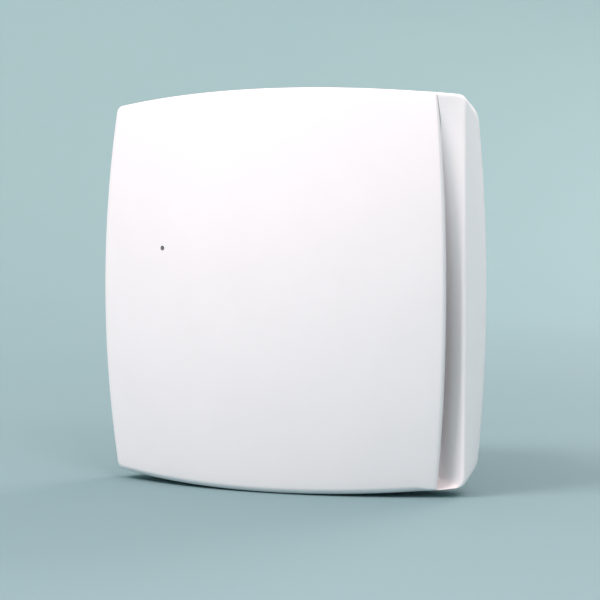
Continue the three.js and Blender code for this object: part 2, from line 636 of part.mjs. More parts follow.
// One blade: a thin curved section, turned flatter towards its tip.
function impellerBlade(turn) {
  const { hub, radius, skin } = IMPELLER;
  const stations = 3;
  const chordSteps = 3;
  const loops = Array.from({ length: stations }, (_, k) => {
    const share = k / (stations - 1);
    const reach = lerp(hub - BLADE.root, radius, share);
    const pitch = THREE.MathUtils.degToRad(lerp(...BLADE.pitch, share));
    const chord = lerp(...BLADE.chord, share);
    const side = (sign) => Array.from({ length: chordSteps + 1 }, (__, i) => {
      const along = (i / chordSteps - 0.5) * chord;
      const camber = BLADE.camber * (1 - (2 * along / chord) ** 2) + sign * skin * 0.5;
      const sweep = (along * Math.cos(pitch) - camber * Math.sin(pitch)) / reach;
      const axial = along * Math.sin(pitch) + camber * Math.cos(pitch);
      const angle = turn + sweep;
      return new THREE.Vector3(reach * Math.cos(angle), axial + BLADE.shift, reach * Math.sin(angle));
    });
    return [...side(1), ...side(-1).reverse()];
  });
  return loft(loops, true);
}

function impeller() {
  const { blades } = IMPELLER;
  const plus = Array.from({ length: blades }, (_, i) => impellerBlade((2 * Math.PI * i) / blades));
  return shape(impellerHub(), { plus });
}

function impellerClip() {
  const rear = IMPELLER.front - GAP;
  const front = IMPELLER.front - CLIP.thick;
  return turned([
    [SHAFT.bore, front], [CLIP.front, front], [CLIP.rear, rear], [SHAFT.bore, rear], [SHAFT.bore, front],
  ], 20);
}

piece('motor_shaft', motorShaft(), steel);
piece('rotor', ring(SHAFT.bore, CORE.rotor, CORE.front, CORE.rear, 24), laminations);
piece('impeller', impeller(), impellerPlastic);
piece('impeller_clip', impellerClip(), steel);

// ---- Backdraught flaps on their pin -------------------------------------------------------------------
function flap(side, knuckles) {
  const { radius, front, rear, edge, pivot } = FLAP;
  const start = Math.acos(-edge / radius);
  const half = new THREE.Shape();
  half.absarc(0, 0, radius, start, 2 * Math.PI - start, false);
  const barrels = knuckles.map(([z0, z1]) => {
    return ring(FLAP.pin + FLAP.play, FLAP.barrel, z0, z1, 10).rotateX(Math.PI / 2).translate(0, pivot, 0);
  });
  const webs = knuckles.map((knuckle) => box([-edge - 0.6, -1], [-rear, -front], knuckle));
  const body = shape(slab(half, -rear, -front, 20), { plus: [...barrels, ...webs] });
  return side < 0 ? body : body.rotateY(Math.PI);
}

const flapPin = new THREE.CylinderGeometry(FLAP.pin, FLAP.pin, 2 * DUCT.outer - 2, 14).rotateX(Math.PI / 2);
piece('flap_pin', flapPin, steel, [0, FLAP.pivot, 0]);
piece('flap_left', flap(-1, LEFT_KNUCKLES), impellerPlastic);
piece('flap_right', flap(1, RIGHT_KNUCKLES), impellerPlastic);

// ---- Front panel --------------------------------------------------------------------------------------
const panelEdge = squareEdge(PANEL_CORNERS, { ends: 9, left: 6, right: 8, stops: [0.94] });

// The panel's skin with its folded edge. With some air added it is the space that the panel needs, which is
// open to the front.
function panelShell(air = 0) {
  const skin = PANEL.skin + air;
  const rightSide = (u) => u > 0.99;
  const fold = (u) => lerp(PANEL.fold, PANEL.lipFold, smooth(u, 0.9, 1));
  const bottom = (x, z, u, v) => {
    if (!rightSide(u)) return seamDepth(x) - air;
    return panelDepth(x, z) - lerp(PANEL_EDGE.lip, PANEL_EDGE.endLip, v ** 4) - air;
  };
  const wallTop = (x, z, u, v) => {
    return rightSide(u) ? bottom(x, z, u, v) + 0.1 : panelDepth(x, z) - PANEL.fold - 1;
  };
  const folded = (degrees) => panelEdge.map(([u, v]) => {
    const angle = THREE.MathUtils.degToRad(degrees);
    const radius = fold(u);
    const scale = inset(radius * (1 - Math.sin(angle)));
    const [x, z] = panelRegion(u * scale, v * scale);
    return new THREE.Vector3(x, -(panelDepth(x, z) - radius * (1 - Math.cos(angle))), z);
  });
  const face = (distance, sunk) => (share) => panelEdge.map(([u, v]) => {
    const scale = inset(distance(u)) * share;
    const [x, z] = panelRegion(u * scale, v * scale);
    return new THREE.Vector3(x, -(panelDepth(x, z) - sunk), z);
  });
  const shares = [0.15, 0.42, 0.7, 1];
  const front = air > 0
    ? [loopOf(panelEdge, panelRegion, -air, () => PANEL.front + 1)]
    : [...shares.map(face(fold, 0)), ...[30, 60, 90].map(folded)];
  return loft([
    ...front,
    loopOf(panelEdge, panelRegion, -air, bottom),
    loopOf(panelEdge, panelRegion, skin, bottom),
    loopOf(panelEdge, panelRegion, skin, wallTop),
    ...[...shares].reverse().map(face(() => PANEL.fold + 0.6, skin)),
  ], true);
}

function frontPanel() {
  const post = ([x, z]) => disc(x, z, POST.panel, COVER.floor - 4, panelDepth(x, z) - 1, 10);
  const pinhole = disc(LED.x, LED.z, LENS.pinhole, 30, 42, 12);
  return shape(panelShell(), { plus: PANEL_POSTS.map(post), minus: [pinhole] });
}

function statusLens() {
  const rear = BOX.front + GAP;
  const top = panelDepth(LED.x, LED.z) - LENS.sink;
  const neck = top - LENS.shoulder;
  return turned([
    [0, -rear], [LENS.base, -rear], [LENS.base, LENS.slope - neck],
    [LENS.tip, -neck], [LENS.tip, -top], [0, -top],
  ], 12);
}

piece('front_panel', frontPanel(), shell);
piece('status_lens', statusLens(), clearPlastic, [LED.x, 0, LED.z]);

// ---- Cover frame, inlet guard and the screws that hold the cover --------------------------------------
const edgeShare = (x) => {
  const left = -(HALF - SIDE_BOW);
  const right = RIM.x - RIM.bow;
  return (2 * x - left - right) / (right - left);
};
const coverStops = [-6, -3.5, -0.05, 0.05].map((offset) => edgeShare(COVER.split + offset));
const coverSteps = { ends: 7, left: 6, right: 10, stops: coverStops };
const rimEdge = squareEdge(RIM_CORNERS, coverSteps);
const baseEdge = squareEdge(BASE_CORNERS, coverSteps);

// A loop that follows the ledge under the panel, and the rim where the panel leaves the cover bare.
function coverLoop(ledgeInset, ledgeDepth, rimInset, rimDepthAt) {
  return rimEdge.map(([u, v]) => {
    const underPanel = u < edgeShare(COVER.split);
    const [distance, depth] = underPanel ? [ledgeInset, ledgeDepth] : [rimInset, rimDepthAt];
    const scale = inset(distance);
    const [x, z] = rimRegion(u * scale, v * scale);
    return new THREE.Vector3(x, -depth(x, z), z);
  });
}

function coverShell() {
  const { skin, wall, inlet } = COVER;
  const ledge = (x) => seamDepth(x) - SEAM.gap;
  const ledgeUnder = (x) => ledge(x) - skin;
  const lip = (x) => ledge(x) + (x < COVER.split - LEDGE.lipEnd ? LEDGE.lip : LEDGE.step);
  const under = (x, z) => coverDepth(x, z) - skin;
  const floorEdge = loopOf(rimEdge, rimRegion, COVER.floorInset, coverDepth);
  const inward = (share, depth) => floorEdge.map((p) => {
    const reach = inlet / Math.hypot(p.x, p.z);
    const x = lerp(p.x * reach, p.x, share);
    const z = lerp(p.z * reach, p.z, share);
    return new THREE.Vector3(x, -depth(x, z), z);
  });
  const rounded = (degrees) => {
    const angle = THREE.MathUtils.degToRad(degrees);
    const drop = RIM.round * (1 - Math.cos(angle));
    return [RIM.round * (1 - Math.sin(angle)), (x, z) => coverDepth(x, z) - drop];
  };
  const shares = [0, 0.18, 0.38, 0.57, 0.72, 0.86, 1];
  return loft([
    ...shares.map((share) => inward(share, coverDepth)),
    coverLoop(LEDGE.lipInset, lip, 4, coverDepth),
    coverLoop(LEDGE.inset, lip, ...rounded(0)),
    coverLoop(LEDGE.inset - LEDGE.step, ledge, ...rounded(45)),
    coverLoop(0, ledge, ...rounded(90)),
    loopOf(baseEdge, baseRegion, 0, () => WALL_GAP),
    loopOf(baseEdge, baseRegion, wall, () => WALL_GAP),
    coverLoop(wall + 0.4, ledgeUnder, wall + 0.8, (x, z) => under(x, z) - 0.6),
    ...[...shares].reverse().map((share) => inward(share, under)),
  ]);
}

function coverFrame() {
  const hole = (radius) => ([x, z]) => disc(x, z, radius, COVER.floor - 5, COVER.floor + 6, 10);
  return shape(coverShell(), {
    minus: [
      panelShell(GAP),
      ...PANEL_POSTS.map(hole(SOCKET)),
      ...COVER_SCREWS.map(hole(HOLE.captive)),
      hole(HOLE.light)([LED.x, LED.z]),
    ],
  });
}

function inletGuard() {
  const { hub, rings, rib, spokes, rimInner, rimOuter } = GUARD;
  const { floor, skin, inlet } = COVER;
  const ys = [-floor, skin - floor];
  const ribs = rings.map((radius) => ring(radius - rib, radius + rib, ...ys, 24));
  const rim = ring(inlet - rimInner, inlet - rimOuter, ...ys, 30);
  const arms = Array.from({ length: spokes }, (_, i) => {
    return spoke(30 + (360 * i) / spokes, [hub - 3, inlet - 2 * rib], ys, 2 * rib);
  });
  return shape(disc(0, 0, hub, floor - skin, floor, 20), { plus: [...ribs, rim, ...arms] });
}

piece('cover_frame', coverFrame(), shell);
piece('inlet_guard', inletGuard(), shell);
screws('cover', COVER_SCREWS, COVER.floor);

export default fan;
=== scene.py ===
# Looks of a bathroom extractor fan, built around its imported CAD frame.
# Sizes are millimetres and become metres when a piece is finished. The wall's face is the plane y = 0 and the
# front faces -Y. A "depth" is how far a point stands proud of the wall, so y = -depth.
import json
from math import acos, atan2, cos, hypot, pi, radians, sin, sqrt
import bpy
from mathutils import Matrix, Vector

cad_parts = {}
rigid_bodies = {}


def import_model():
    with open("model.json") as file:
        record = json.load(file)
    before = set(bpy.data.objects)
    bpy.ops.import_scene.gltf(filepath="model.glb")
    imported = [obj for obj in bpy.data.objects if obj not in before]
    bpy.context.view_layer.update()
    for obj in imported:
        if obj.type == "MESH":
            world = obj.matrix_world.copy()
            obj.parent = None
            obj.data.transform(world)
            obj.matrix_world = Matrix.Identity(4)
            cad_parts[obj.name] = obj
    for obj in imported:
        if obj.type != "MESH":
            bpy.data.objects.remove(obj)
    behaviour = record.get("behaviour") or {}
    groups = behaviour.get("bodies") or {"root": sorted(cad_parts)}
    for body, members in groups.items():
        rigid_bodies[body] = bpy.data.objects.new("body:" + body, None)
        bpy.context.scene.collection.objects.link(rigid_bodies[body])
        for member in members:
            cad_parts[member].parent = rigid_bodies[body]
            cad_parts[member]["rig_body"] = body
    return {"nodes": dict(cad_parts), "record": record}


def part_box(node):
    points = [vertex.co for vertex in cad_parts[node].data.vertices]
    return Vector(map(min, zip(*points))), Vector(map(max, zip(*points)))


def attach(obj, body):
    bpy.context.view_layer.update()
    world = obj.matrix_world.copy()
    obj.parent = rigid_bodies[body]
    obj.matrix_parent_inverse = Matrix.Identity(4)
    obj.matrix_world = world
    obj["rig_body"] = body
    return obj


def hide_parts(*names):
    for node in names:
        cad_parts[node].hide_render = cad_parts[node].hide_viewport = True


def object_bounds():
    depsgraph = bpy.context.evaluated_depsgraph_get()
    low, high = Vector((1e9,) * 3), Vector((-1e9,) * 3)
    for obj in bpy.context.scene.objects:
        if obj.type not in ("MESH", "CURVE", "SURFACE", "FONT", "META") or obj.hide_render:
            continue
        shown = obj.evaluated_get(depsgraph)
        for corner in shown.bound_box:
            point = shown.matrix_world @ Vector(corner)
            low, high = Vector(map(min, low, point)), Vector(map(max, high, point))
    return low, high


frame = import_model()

from types import SimpleNamespace as Sizes

import bmesh
import bpy
import numpy as np
from mathutils import Matrix, Vector

cad_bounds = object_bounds()
scene = bpy.context.scene
MM = 0.001


def span(node):
    """The lowest and highest corners of a CAD node, in millimetres."""
    low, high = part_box(node)
    return low / MM, high / MM


def middle(node):
    return sum(span(node), Vector()) / 2


def faces_of(node):
    """A CAD node's box as pairs of x, of depth and of z, and its middle."""
    low, high = span(node)
    return (low.x, high.x), (-high.y, -low.y), (low.z, high.z), (low + high) / 2


# ---- Driving dimensions ----
HALF = span("cover_frame")[1].x     # half of the casing's width and height at the middle of each side
SIDE_BOW = 4.8                      # how far the left and right sides fall in towards their corners
END_BOW = 4.75                      # the same for the top and bottom
WALL_GAP = 2                        # shadow gap behind the cover's edge
BASE_CORNERS = (0.075, 0.12)        # radii of the left and right corners, as shares of the half width
RIM_CORNERS = (0.075, 0.045)
PANEL_CORNERS = (0.03, 0.006)

PANEL = Sizes(front=46, tilt=2, curve_x=22, curve_z=7.4, skin=2, fold=2.8, lip_fold=1, edge_x=77.8, bow=4.7,
              lip=4.5, end_lip=1.6, edge_round=0.4)
RIB = Sizes(reach=5, half=0.6, start=7, bury=1)
SEAM = Sizes(depth=16.6, rise=3.7, gap=0.4)
RIM = Sizes(x=85.6, bow=0.2, depth=22, fall=0.4, flat=0.6, round=1.2)
SCOOP = Sizes(drop=10.5, width=13.5, ease=0.12, start=57, end=70, deepest=-40)
SCOOP_TOP = Sizes(end=85, power=1.65)
SCOOP_BOTTOM = Sizes(end=-86.5, power=40)
COVER = Sizes(floor=17, skin=2, wall=2.2, inlet=50, ledge=2.5, lip=1.5, lip_inset=4.4, lip_end=7,
              split=73.4, sharp=0.0006, floor_inset=7, wall_round=0.25)
GUARD = Sizes(hub=12, rings=(24, 36), rib=0.8, spokes=6)

DUCT = Sizes(bore=47, outer=49, end=span("base_housing")[1].y, stop=45.2, stop_end=56, stop_thick=1.4)
BELL = Sizes(depth=14, radius=52.4, start=4, lip=1.6)
PLATE = Sizes(thick=2.5, inset=5, rib=1.4, rib_half=0.6, bury=0.4)
POST = Sizes(wall=5, box=4, board=3, cover=4.5, panel=2.5, low=4, board_top=4.2)
HOLE = Sizes(wall=2.4, pilot=1.5, screw=1.6, captive=1.9, cable=6.7, socket=3, light=2.2, pinhole=1.1)
PILOT_REAR = 0.6
GROMMET = Sizes(bore=3.4, neck=6.3, flange=8.5, front=4.2)
SHAFT = Sizes(radius=2.5, bore=2.8)
MOTOR = Sizes(front=15.5, rear=47.5, radius=27, skin=1.5, screws=20, screw_hole=1.7)
CUP = Sizes(radius=29.6, front=32, rear=53.3, disk=2, hole=9, air=0.5)
OUTER_RING = Sizes(outer=0.5, inner=2, front=36, rear=50, vane=2)
BEARING = Sizes(seat=7.2, wall=8.6, hole=4)
IMPELLER = Sizes(radius=44.4, hub=22, front=-11, rear=12, blades=7, skin=1.6)
BLADE = Sizes(pitch=(52, 32), chord=(19, 27), camber=2.4, root=0.8, shift=0.5)
FLAP = Sizes(radius=46, front=56.3, rear=57.5, pivot=middle("flap_pin").y, barrel=3, pin=1.2, play=0.35,
             edge=3.4)
BOX = Sizes(left=-79.5, right=-44, half=61, arc=53.2, skin=1.2, rear=3, front=14.4)
TAB = Sizes(half=4, rear=4.3, front=5.8, end=69)
NOTCH = Sizes(half=4, front=9, reach=2)
KNOB = Sizes(flutes=14, depth=0.07, hole=3.6, mark_radius=5, mark=0.35)
WIRE = Sizes(radius=0.8, angle=200, slot=2.8)
LEAD_SLOTS = Sizes(box_wall=(-11, -2), bell=3.5, cup=(39.5, 42.5), ring=(34, 43))
GAP = 0.3                           # air between pieces that touch

CABLE = middle("cable_grommet")
LED = middle("status_lens")
CLAMP = Sizes(reach=6.8, leg=2.9, under=8.5, tooth=3.4)
COVER_SCREWS = [(0, 68), (0, -68)]
PANEL_POSTS = [(-66, 68), (-66, -68), (54, 66), (54, -66)]
WALL_HOLES = [(-30, 76), (30, 76), (-30, -76), (30, -76)]
BOX_SCREWS = [(-64, 65), (-52, -65)]
BOARD_SCREWS = [(-74, 54), (-50, -43)]
BOARD_RESTS = [(-50, 54), (-74, -42)]
VANE_ANGLES = (90, 210, 330)
MOTOR_SCREW_ANGLES = (30, 150, 270)
BRACE_ANGLES = (*range(15, 150, 30), 225, 255, 285, 315, 345)
LEFT_KNUCKLES = [(-42, -26), (-8, 8), (26, 42)]
RIGHT_KNUCKLES = [(-25.5, -8.5), (8.5, 25.5)]
# The motor's lead as (distance from the axis, y), over the bell mouth and back to the motor.
LEAD = [(58.5, -7.4), (56.5, -8.6), (53, -8.8), (49.4, -8), (46.4, -6), (45.8, -2), (45.8, 10), (45.8, 22),
        (45.8, 34), (44.6, 38.5), (41, 40.8), (36, 41), (32, 41), (27.4, 41)]
SIDES = 96                          # facets round a full turn
CREASE = radians(32)                # edges sharper than this are rounded and shaded sharp


# ---- Meshes ----
def placed(name, data):
    """A new object in the scene."""
    body = bpy.data.objects.new(name, data)
    scene.collection.objects.link(body)
    return body


def solid(points, faces):
    """A closed mesh as an object that is still in millimetres."""
    mesh = bpy.data.meshes.new("solid")
    mesh.from_pydata([tuple(map(float, p)) for p in points], [], faces)
    tidy = bmesh.new()
    tidy.from_mesh(mesh)
    bmesh.ops.recalc_face_normals(tidy, faces=tidy.faces)
    tidy.to_mesh(mesh)
    tidy.free()
    return placed("solid", mesh)


def loft(loops, ends=None):
    """Skins a row of loops with the same number of points. The row closes on itself, or on the two points in
    `ends`, or with ends="flat" on its first and last loops."""
    count = len(loops[0])
    points = [p for loop in loops for p in loop]
    faces = []
    spans = len(loops) if ends is None else len(loops) - 1
    for row in range(spans):
        here, there = row * count, (row + 1) % len(loops) * count
        for i in range(count):
            j = (i + 1) % count
            faces.append((here + i, here + j, there + j, there + i))
    last = (len(loops) - 1) * count
    if ends == "flat":
        faces.append(tuple(reversed(range(count))))
        faces.append(tuple(range(last, last + count)))
    elif ends is not None:
        for row, apex in ((0, ends[0]), (last, ends[1])):
            points.append(apex)
            faces += [(row + i, row + (i + 1) % count, len(points) - 1) for i in range(count)]
    return solid(points, faces)


def shape(first, plus=(), minus=()):
    """Joins the solids in `plus` to the first one, and then cuts those in `minus` from it."""
    for pieces, operation in ((plus, "UNION"), (minus, "DIFFERENCE")):
        for piece in pieces:
            step = first.modifiers.new(operation, "BOOLEAN")
            step.operation = operation
            step.solver = "MANIFOLD"
            step.object = piece
    view = bpy.context.evaluated_depsgraph_get()
    joined = bpy.data.meshes.new_from_object(first.evaluated_get(view))
    for used in (first, *plus, *minus):
        bpy.data.objects.remove(used)
    return placed("solid", joined)


def moved(body, offset=(0, 0, 0), turn=0, axis="Y"):
    """The body turned about an axis through the origin, in degrees, and then shifted."""
    body.data.transform(Matrix.Translation(Vector(offset)) @ Matrix.Rotation(radians(turn), 4, axis))
    return body


def rounded(profile, radius, closed=True, steps=4):
    """The profile with each of its corners replaced by an arc."""
    points = [Vector(p) for p in profile]
    result = []
    for i, here in enumerate(points):
        if not closed and i in (0, len(points) - 1):
            result.append(here)
            continue
        before, after = points[i - 1], points[(i + 1) % len(points)]
        to_before, to_after = before - here, after - here
        bend = pi - to_before.angle(to_after)
        reach = min(radius * sin(bend / 2) / cos(bend / 2), 0.42 * to_before.length, 0.42 * to_after.length)
        if bend < radians(18):
            result.append(here)
            continue
        start = here + to_before.normalized() * reach
        end = here + to_after.normalized() * reach
        for k in range(steps + 1):
            t = k / steps
            result.append((1 - t) ** 2 * start + 2 * t * (1 - t) * here + t ** 2 * end)
    return [tuple(p) for p in result]


def turns(count):
    return [2 * pi * i / count for i in range(count)]


def turned(profile, sides=SIDES, edge=0.3):
    """A body of revolution about the duct's axis, from (radius, y) points with rounded corners. A profile
    that starts and ends on the axis is closed there, and any other is a closed ring."""
    on_axis = profile[0][0] == 0
    outline = rounded(profile, edge, closed=not on_axis) if edge else list(profile)
    rows = outline[1:-1] if on_axis else outline
    loops = [[(r * cos(a), y, r * sin(a)) for a in turns(sides)] for r, y in rows]
    ends = [(0, outline[0][1], 0), (0, outline[-1][1], 0)] if on_axis else None
    return loft(loops, ends)


def ring(inner, outer, y0, y1, sides=SIDES, edge=0.3):
    return turned([(inner, y0), (outer, y0), (outer, y1), (inner, y1)], sides, edge)


def bead(spot, profile, edge):
    """A small turned body whose axis runs along Y through a spot."""
    return moved(turned(profile, 32, edge), (spot.x, 0, spot.z))


def disc(x, z, radius, d0, d1, sides=48, edge=0):
    """A round bar along Y between two depths."""
    profile = [(0, -d1), (radius, -d1), (radius, -d0), (0, -d0)]
    return moved(turned(profile, sides, edge), (x, 0, z))


def box(xs, depths, zs, edge=0):
    """A block between two values of x, of depth and of z, with rounded edges."""
    body = bmesh.new()
    bmesh.ops.create_cube(body, size=1)
    size = Vector((xs[1] - xs[0], depths[1] - depths[0], zs[1] - zs[0]))
    centre = Vector((sum(xs) / 2, -sum(depths) / 2, sum(zs) / 2))
    for corner in body.verts:
        corner.co = centre + corner.co * size
    if edge:
        bmesh.ops.bevel(body, geom=body.edges[:], offset=edge, segments=3, profile=0.5, affect="EDGES")
    mesh = bpy.data.meshes.new("solid")
    body.to_mesh(mesh)
    body.free()
    return placed("solid", mesh)


def spoke(angle, reach, ys, thickness, edge=0):
    """A block that points away from the duct's axis, in the direction `angle`."""
    block = box(reach, (-ys[1], -ys[0]), (-thickness / 2, thickness / 2), edge)
    return moved(block, turn=-angle)


def polar(radius, angle):
    return radius * cos(radians(angle)), radius * sin(radians(angle))


def offset_outline(outline, distance):
    """A closed anticlockwise outline moved inwards by a small distance."""
    points = np.array(outline, float)
    ahead = np.roll(points, -1, axis=0) - points
    ahead /= np.linalg.norm(ahead, axis=1, keepdims=True)
    behind = np.roll(ahead, 1, axis=0)
    inward = np.column_stack([-(ahead + behind)[:, 1], (ahead + behind)[:, 0]])
    lean = 1 + np.sum(ahead * behind, axis=1, keepdims=True)
    return points + inward / lean * distance


def slab(outline, d0, d1, edge=0):
    """An anticlockwise (x, z) outline with a thickness between two depths."""
    levels = [(0, d0), (0, d1)]
    if edge:
        arc = [(edge * (1 - sin(a)), edge * (1 - cos(a))) for a in (0, pi / 6, pi / 3, pi / 2)]
        levels = [(d, d0 + rise) for d, rise in arc] + [(d, d1 - rise) for d, rise in reversed(arc)]
    loops = [[(x, -depth, z) for x, z in offset_outline(outline, inset)] for inset, depth in levels]
    return loft(loops, "flat")


def swept(route):
    """The wire along a smooth curve through the route's points."""
    route = [Vector(p) for p in route]
    path = [route[0]]
    for i in range(len(route) - 1):
        before, a, b, after = route[max(i - 1, 0)], route[i], route[i + 1], route[min(i + 2, len(route) - 1)]
        for k in range(1, 7):
            t = k / 6
            path.append(0.5 * (2 * a + (b - before) * t + (2 * before - 5 * a + 4 * b - after) * t * t
                               + (3 * a - before - 3 * b + after) * t ** 3))
    loops = []
    side = Vector((-sin(radians(WIRE.angle)), 0, cos(radians(WIRE.angle))))
    for i, p in enumerate(path):
        along = (path[min(i + 1, len(path) - 1)] - path[max(i - 1, 0)]).normalized()
        up = along.cross(side).normalized()
        loops.append([p + WIRE.radius * (cos(a) * side + sin(a) * up) for a in turns(16)])
    return loft(loops, "flat")


# ---- The casing's curved outlines and surfaces ----
def lerp(a, b, t):
    return a + (b - a) * t


def smooth(x, start, end):
    t = min(max((x - start) / (end - start), 0), 1)
    return t * t * (3 - 2 * t)


def region(right_x, right_bow):
    """Maps a square of -1..1 by -1..1 onto the casing's front, with its own right-hand edge."""
    def place(u, v):
        left = -(HALF - SIDE_BOW * v * v)
        x = lerp(left, right_x - right_bow * v * v, (u + 1) / 2)
        return x, v * (HALF - END_BOW * (x / HALF) ** 2)
    return place


base_region = region(HALF, SIDE_BOW)
rim_region = region(RIM.x, RIM.bow)
panel_region = region(PANEL.edge_x, PANEL.bow)


def inset(distance):
    return 1 - distance / (HALF - 2)


def square_edge(corners, ends, left, right, stops=(), corner_steps=8):
    """The edge of the square, anticlockwise from its bottom right corner, with rounded corners."""
    left_corner, right_corner = corners
    points = []

    def turn(side_u, side_v, start):
        corner = left_corner if side_u < 0 else right_corner
        for i in range(corner_steps + 1):
            angle = radians(start + 90 * i / corner_steps)
            u = side_u * (1 - corner) + corner * cos(angle)
            points.append((u, side_v * (1 - corner) + corner * sin(angle)))

    end_stops = sorted([*np.linspace(left_corner - 1, 1 - right_corner, ends)[1:-1], *stops])
    turn(1, -1, -90)
    points.extend((1, v) for v in np.linspace(right_corner - 1, 1 - right_corner, right)[1:-1])
    turn(1, 1, 0)
    points.extend((u, 1) for u in reversed(end_stops))
    turn(-1, 1, 90)
    points.extend((-1, v) for v in np.linspace(1 - left_corner, left_corner - 1, left)[1:-1])
    turn(-1, -1, 180)
    points.extend((u, -1) for u in end_stops)
    return points


def loop_of(edge, place, distance, depth, share=1):
    """The edge on one region, drawn in by a distance or by a share. The distance and the depth are numbers,
    or functions of the point."""
    loop = []
    for u, v in edge:
        scale = inset(distance(u) if callable(distance) else distance) * share
        x, z = place(u * scale, v * scale)
        loop.append((x, -(depth(x, z, u, v) if callable(depth) else depth), z))
    return loop


def panel_depth(x, z):
    across, up = x / HALF, z / HALF
    return PANEL.front + PANEL.tilt * across - PANEL.curve_x * across ** 2 - PANEL.curve_z * up ** 2


def seam_depth(x):
    return SEAM.depth + SEAM.rise * x / HALF


def scoop_drop(z):
    """How far the scoop is cut below the strip: it fades out slowly upwards and all at once at the bottom."""
    side = SCOOP_TOP if z > SCOOP.deepest else SCOOP_BOTTOM
    share = (z - SCOOP.deepest) / (side.end - SCOOP.deepest)
    return SCOOP.drop * max(0, 1 - share ** side.power)


def ramp(share):
    """A straight climb from 0 to 1 with both of its ends eased."""
    t, ease = min(max(share, 0), 1), SCOOP.ease
    steep = 1 / (1 - ease)
    if t < ease:
        return steep * t * t / (2 * ease)
    if t > 1 - ease:
        return 1 - steep * (1 - t) ** 2 / (2 * ease)
    return steep * (t - ease / 2)


def cover_depth(x, z):
    rim_x = RIM.x - RIM.bow * (z / HALF) ** 2
    rim_depth = RIM.depth - RIM.fall * (z / HALF) ** 2
    level = rim_depth + panel_depth(x, z) - panel_depth(rim_x, z)
    scooped = level - scoop_drop(z) * ramp((rim_x - RIM.flat - x) / SCOOP.width)
    return lerp(COVER.floor, scooped, smooth(x, SCOOP.start, SCOOP.end))


def quarter(steps):
    """(inset, drop) of a quarter round of radius 1, from the top face to the side."""
    return [(1 - sin(pi / 2 * i / steps), 1 - cos(pi / 2 * i / steps)) for i in range(steps + 1)]


# ---- Front panel ----
PANEL_EDGE = square_edge(PANEL_CORNERS, ends=72, left=56, right=72, stops=[0.955, 0.97, 0.98])


def panel_shell(air=0):
    """The panel's skin with its folded edge. With some air added it is the space that the panel needs, which
    is open to the front."""
    skin, edge_round = PANEL.skin + air, PANEL.edge_round

    def fold(u):
        return lerp(PANEL.fold, PANEL.lip_fold, smooth(u, 0.9, 1))

    def right_side(u):
        return u > 0.99

    def bottom(x, z, u, v):
        if right_side(u):
            return panel_depth(x, z) - lerp(PANEL.lip, PANEL.end_lip, v ** 4) - air
        return seam_depth(x) - air

    def above_bottom(rise):
        return lambda x, z, u, v: bottom(x, z, u, v) + rise

    def sunk(drop):
        return lambda x, z, u, v: panel_depth(x, z) - drop

    def wall_top(x, z, u, v):
        if right_side(u):
            return bottom(x, z, u, v) + edge_round + 0.1
        return panel_depth(x, z) - PANEL.fold - 1

    def row(distance, depth, share=1):
        return loop_of(PANEL_EDGE, panel_region, distance, depth, share)

    if air:
        loops = [row(-air, PANEL.front + 1)]
        apexes = [(0, -PANEL.front - 1, 0)]
    else:
        loops = [row(fold, sunk(0), share) for share in np.linspace(0.05, 1, 20)]
        for draw_in, drop in quarter(8)[1:]:
            loops.append(row(lambda u: fold(u) * draw_in,
                             lambda x, z, u, v: panel_depth(x, z) - fold(u) * drop))
        apexes = [(0, -panel_depth(0, 0), 0)]
    for draw_in, drop in reversed(quarter(3)):
        loops.append(row(edge_round * draw_in - air, above_bottom(edge_round * drop)))
    for draw_in, drop in quarter(3):
        loops.append(row(skin - edge_round * draw_in, above_bottom(edge_round * drop)))
    loops.append(row(skin, wall_top))
    loops += [row(PANEL.fold + 0.6, sunk(skin), share) for share in np.linspace(1, 0.05, 20)]
    return loft(loops, [*apexes, (0, skin - panel_depth(0, 0), 0)])


def panel_post(x, z):
    """A snap post on the panel's back, with two ribs that stop under the panel's skin."""
    reach, half = RIB.reach, RIB.half
    under = min(panel_depth(x + i, z + j) for i in (-reach, reach) for j in (-reach, reach)) - RIB.bury
    front = COVER.floor + RIB.start
    return [disc(x, z, POST.panel, COVER.floor - 4, panel_depth(x, z) - RIB.bury - 0.3, edge=0.7),
            box((x - reach, x + reach), (front, under), (z - half, z + half)),
            box((x - half, x + half), (front, under), (z - reach, z + reach))]


def front_panel():
    posts = [part for x, z in PANEL_POSTS for part in panel_post(x, z)]
    pinhole = disc(LED.x, LED.z, HOLE.pinhole, 30, 42, sides=24)
    return shape(panel_shell(), plus=posts, minus=[pinhole])


# ---- Cover frame ----
def edge_share(x):
    left, right = SIDE_BOW - HALF, RIM.x - RIM.bow
    return (2 * x - left - right) / (right - left)


def cover_edge(corners):
    split = edge_share(COVER.split)
    lip_end = edge_share(COVER.split - COVER.lip_end)
    stops = [place + side * COVER.sharp for place in (lip_end, split) for side in (-1, 1)]
    return square_edge(corners, ends=60, left=48, right=72, corner_steps=10, stops=stops)


RIM_EDGE = cover_edge(RIM_CORNERS)
BASE_EDGE = cover_edge(BASE_CORNERS)


def cover_loop(ledge_inset, ledge_depth, rim_inset, rim_drop):
    """A loop that follows the ledge under the panel, and the rim where the panel leaves the cover bare."""
    split = edge_share(COVER.split)
    loop = []
    for u, v in RIM_EDGE:
        scale = inset(ledge_inset if u < split else rim_inset)
        x, z = rim_region(u * scale, v * scale)
        loop.append((x, -(ledge_depth(x) if u < split else cover_depth(x, z) - rim_drop), z))
    return loop


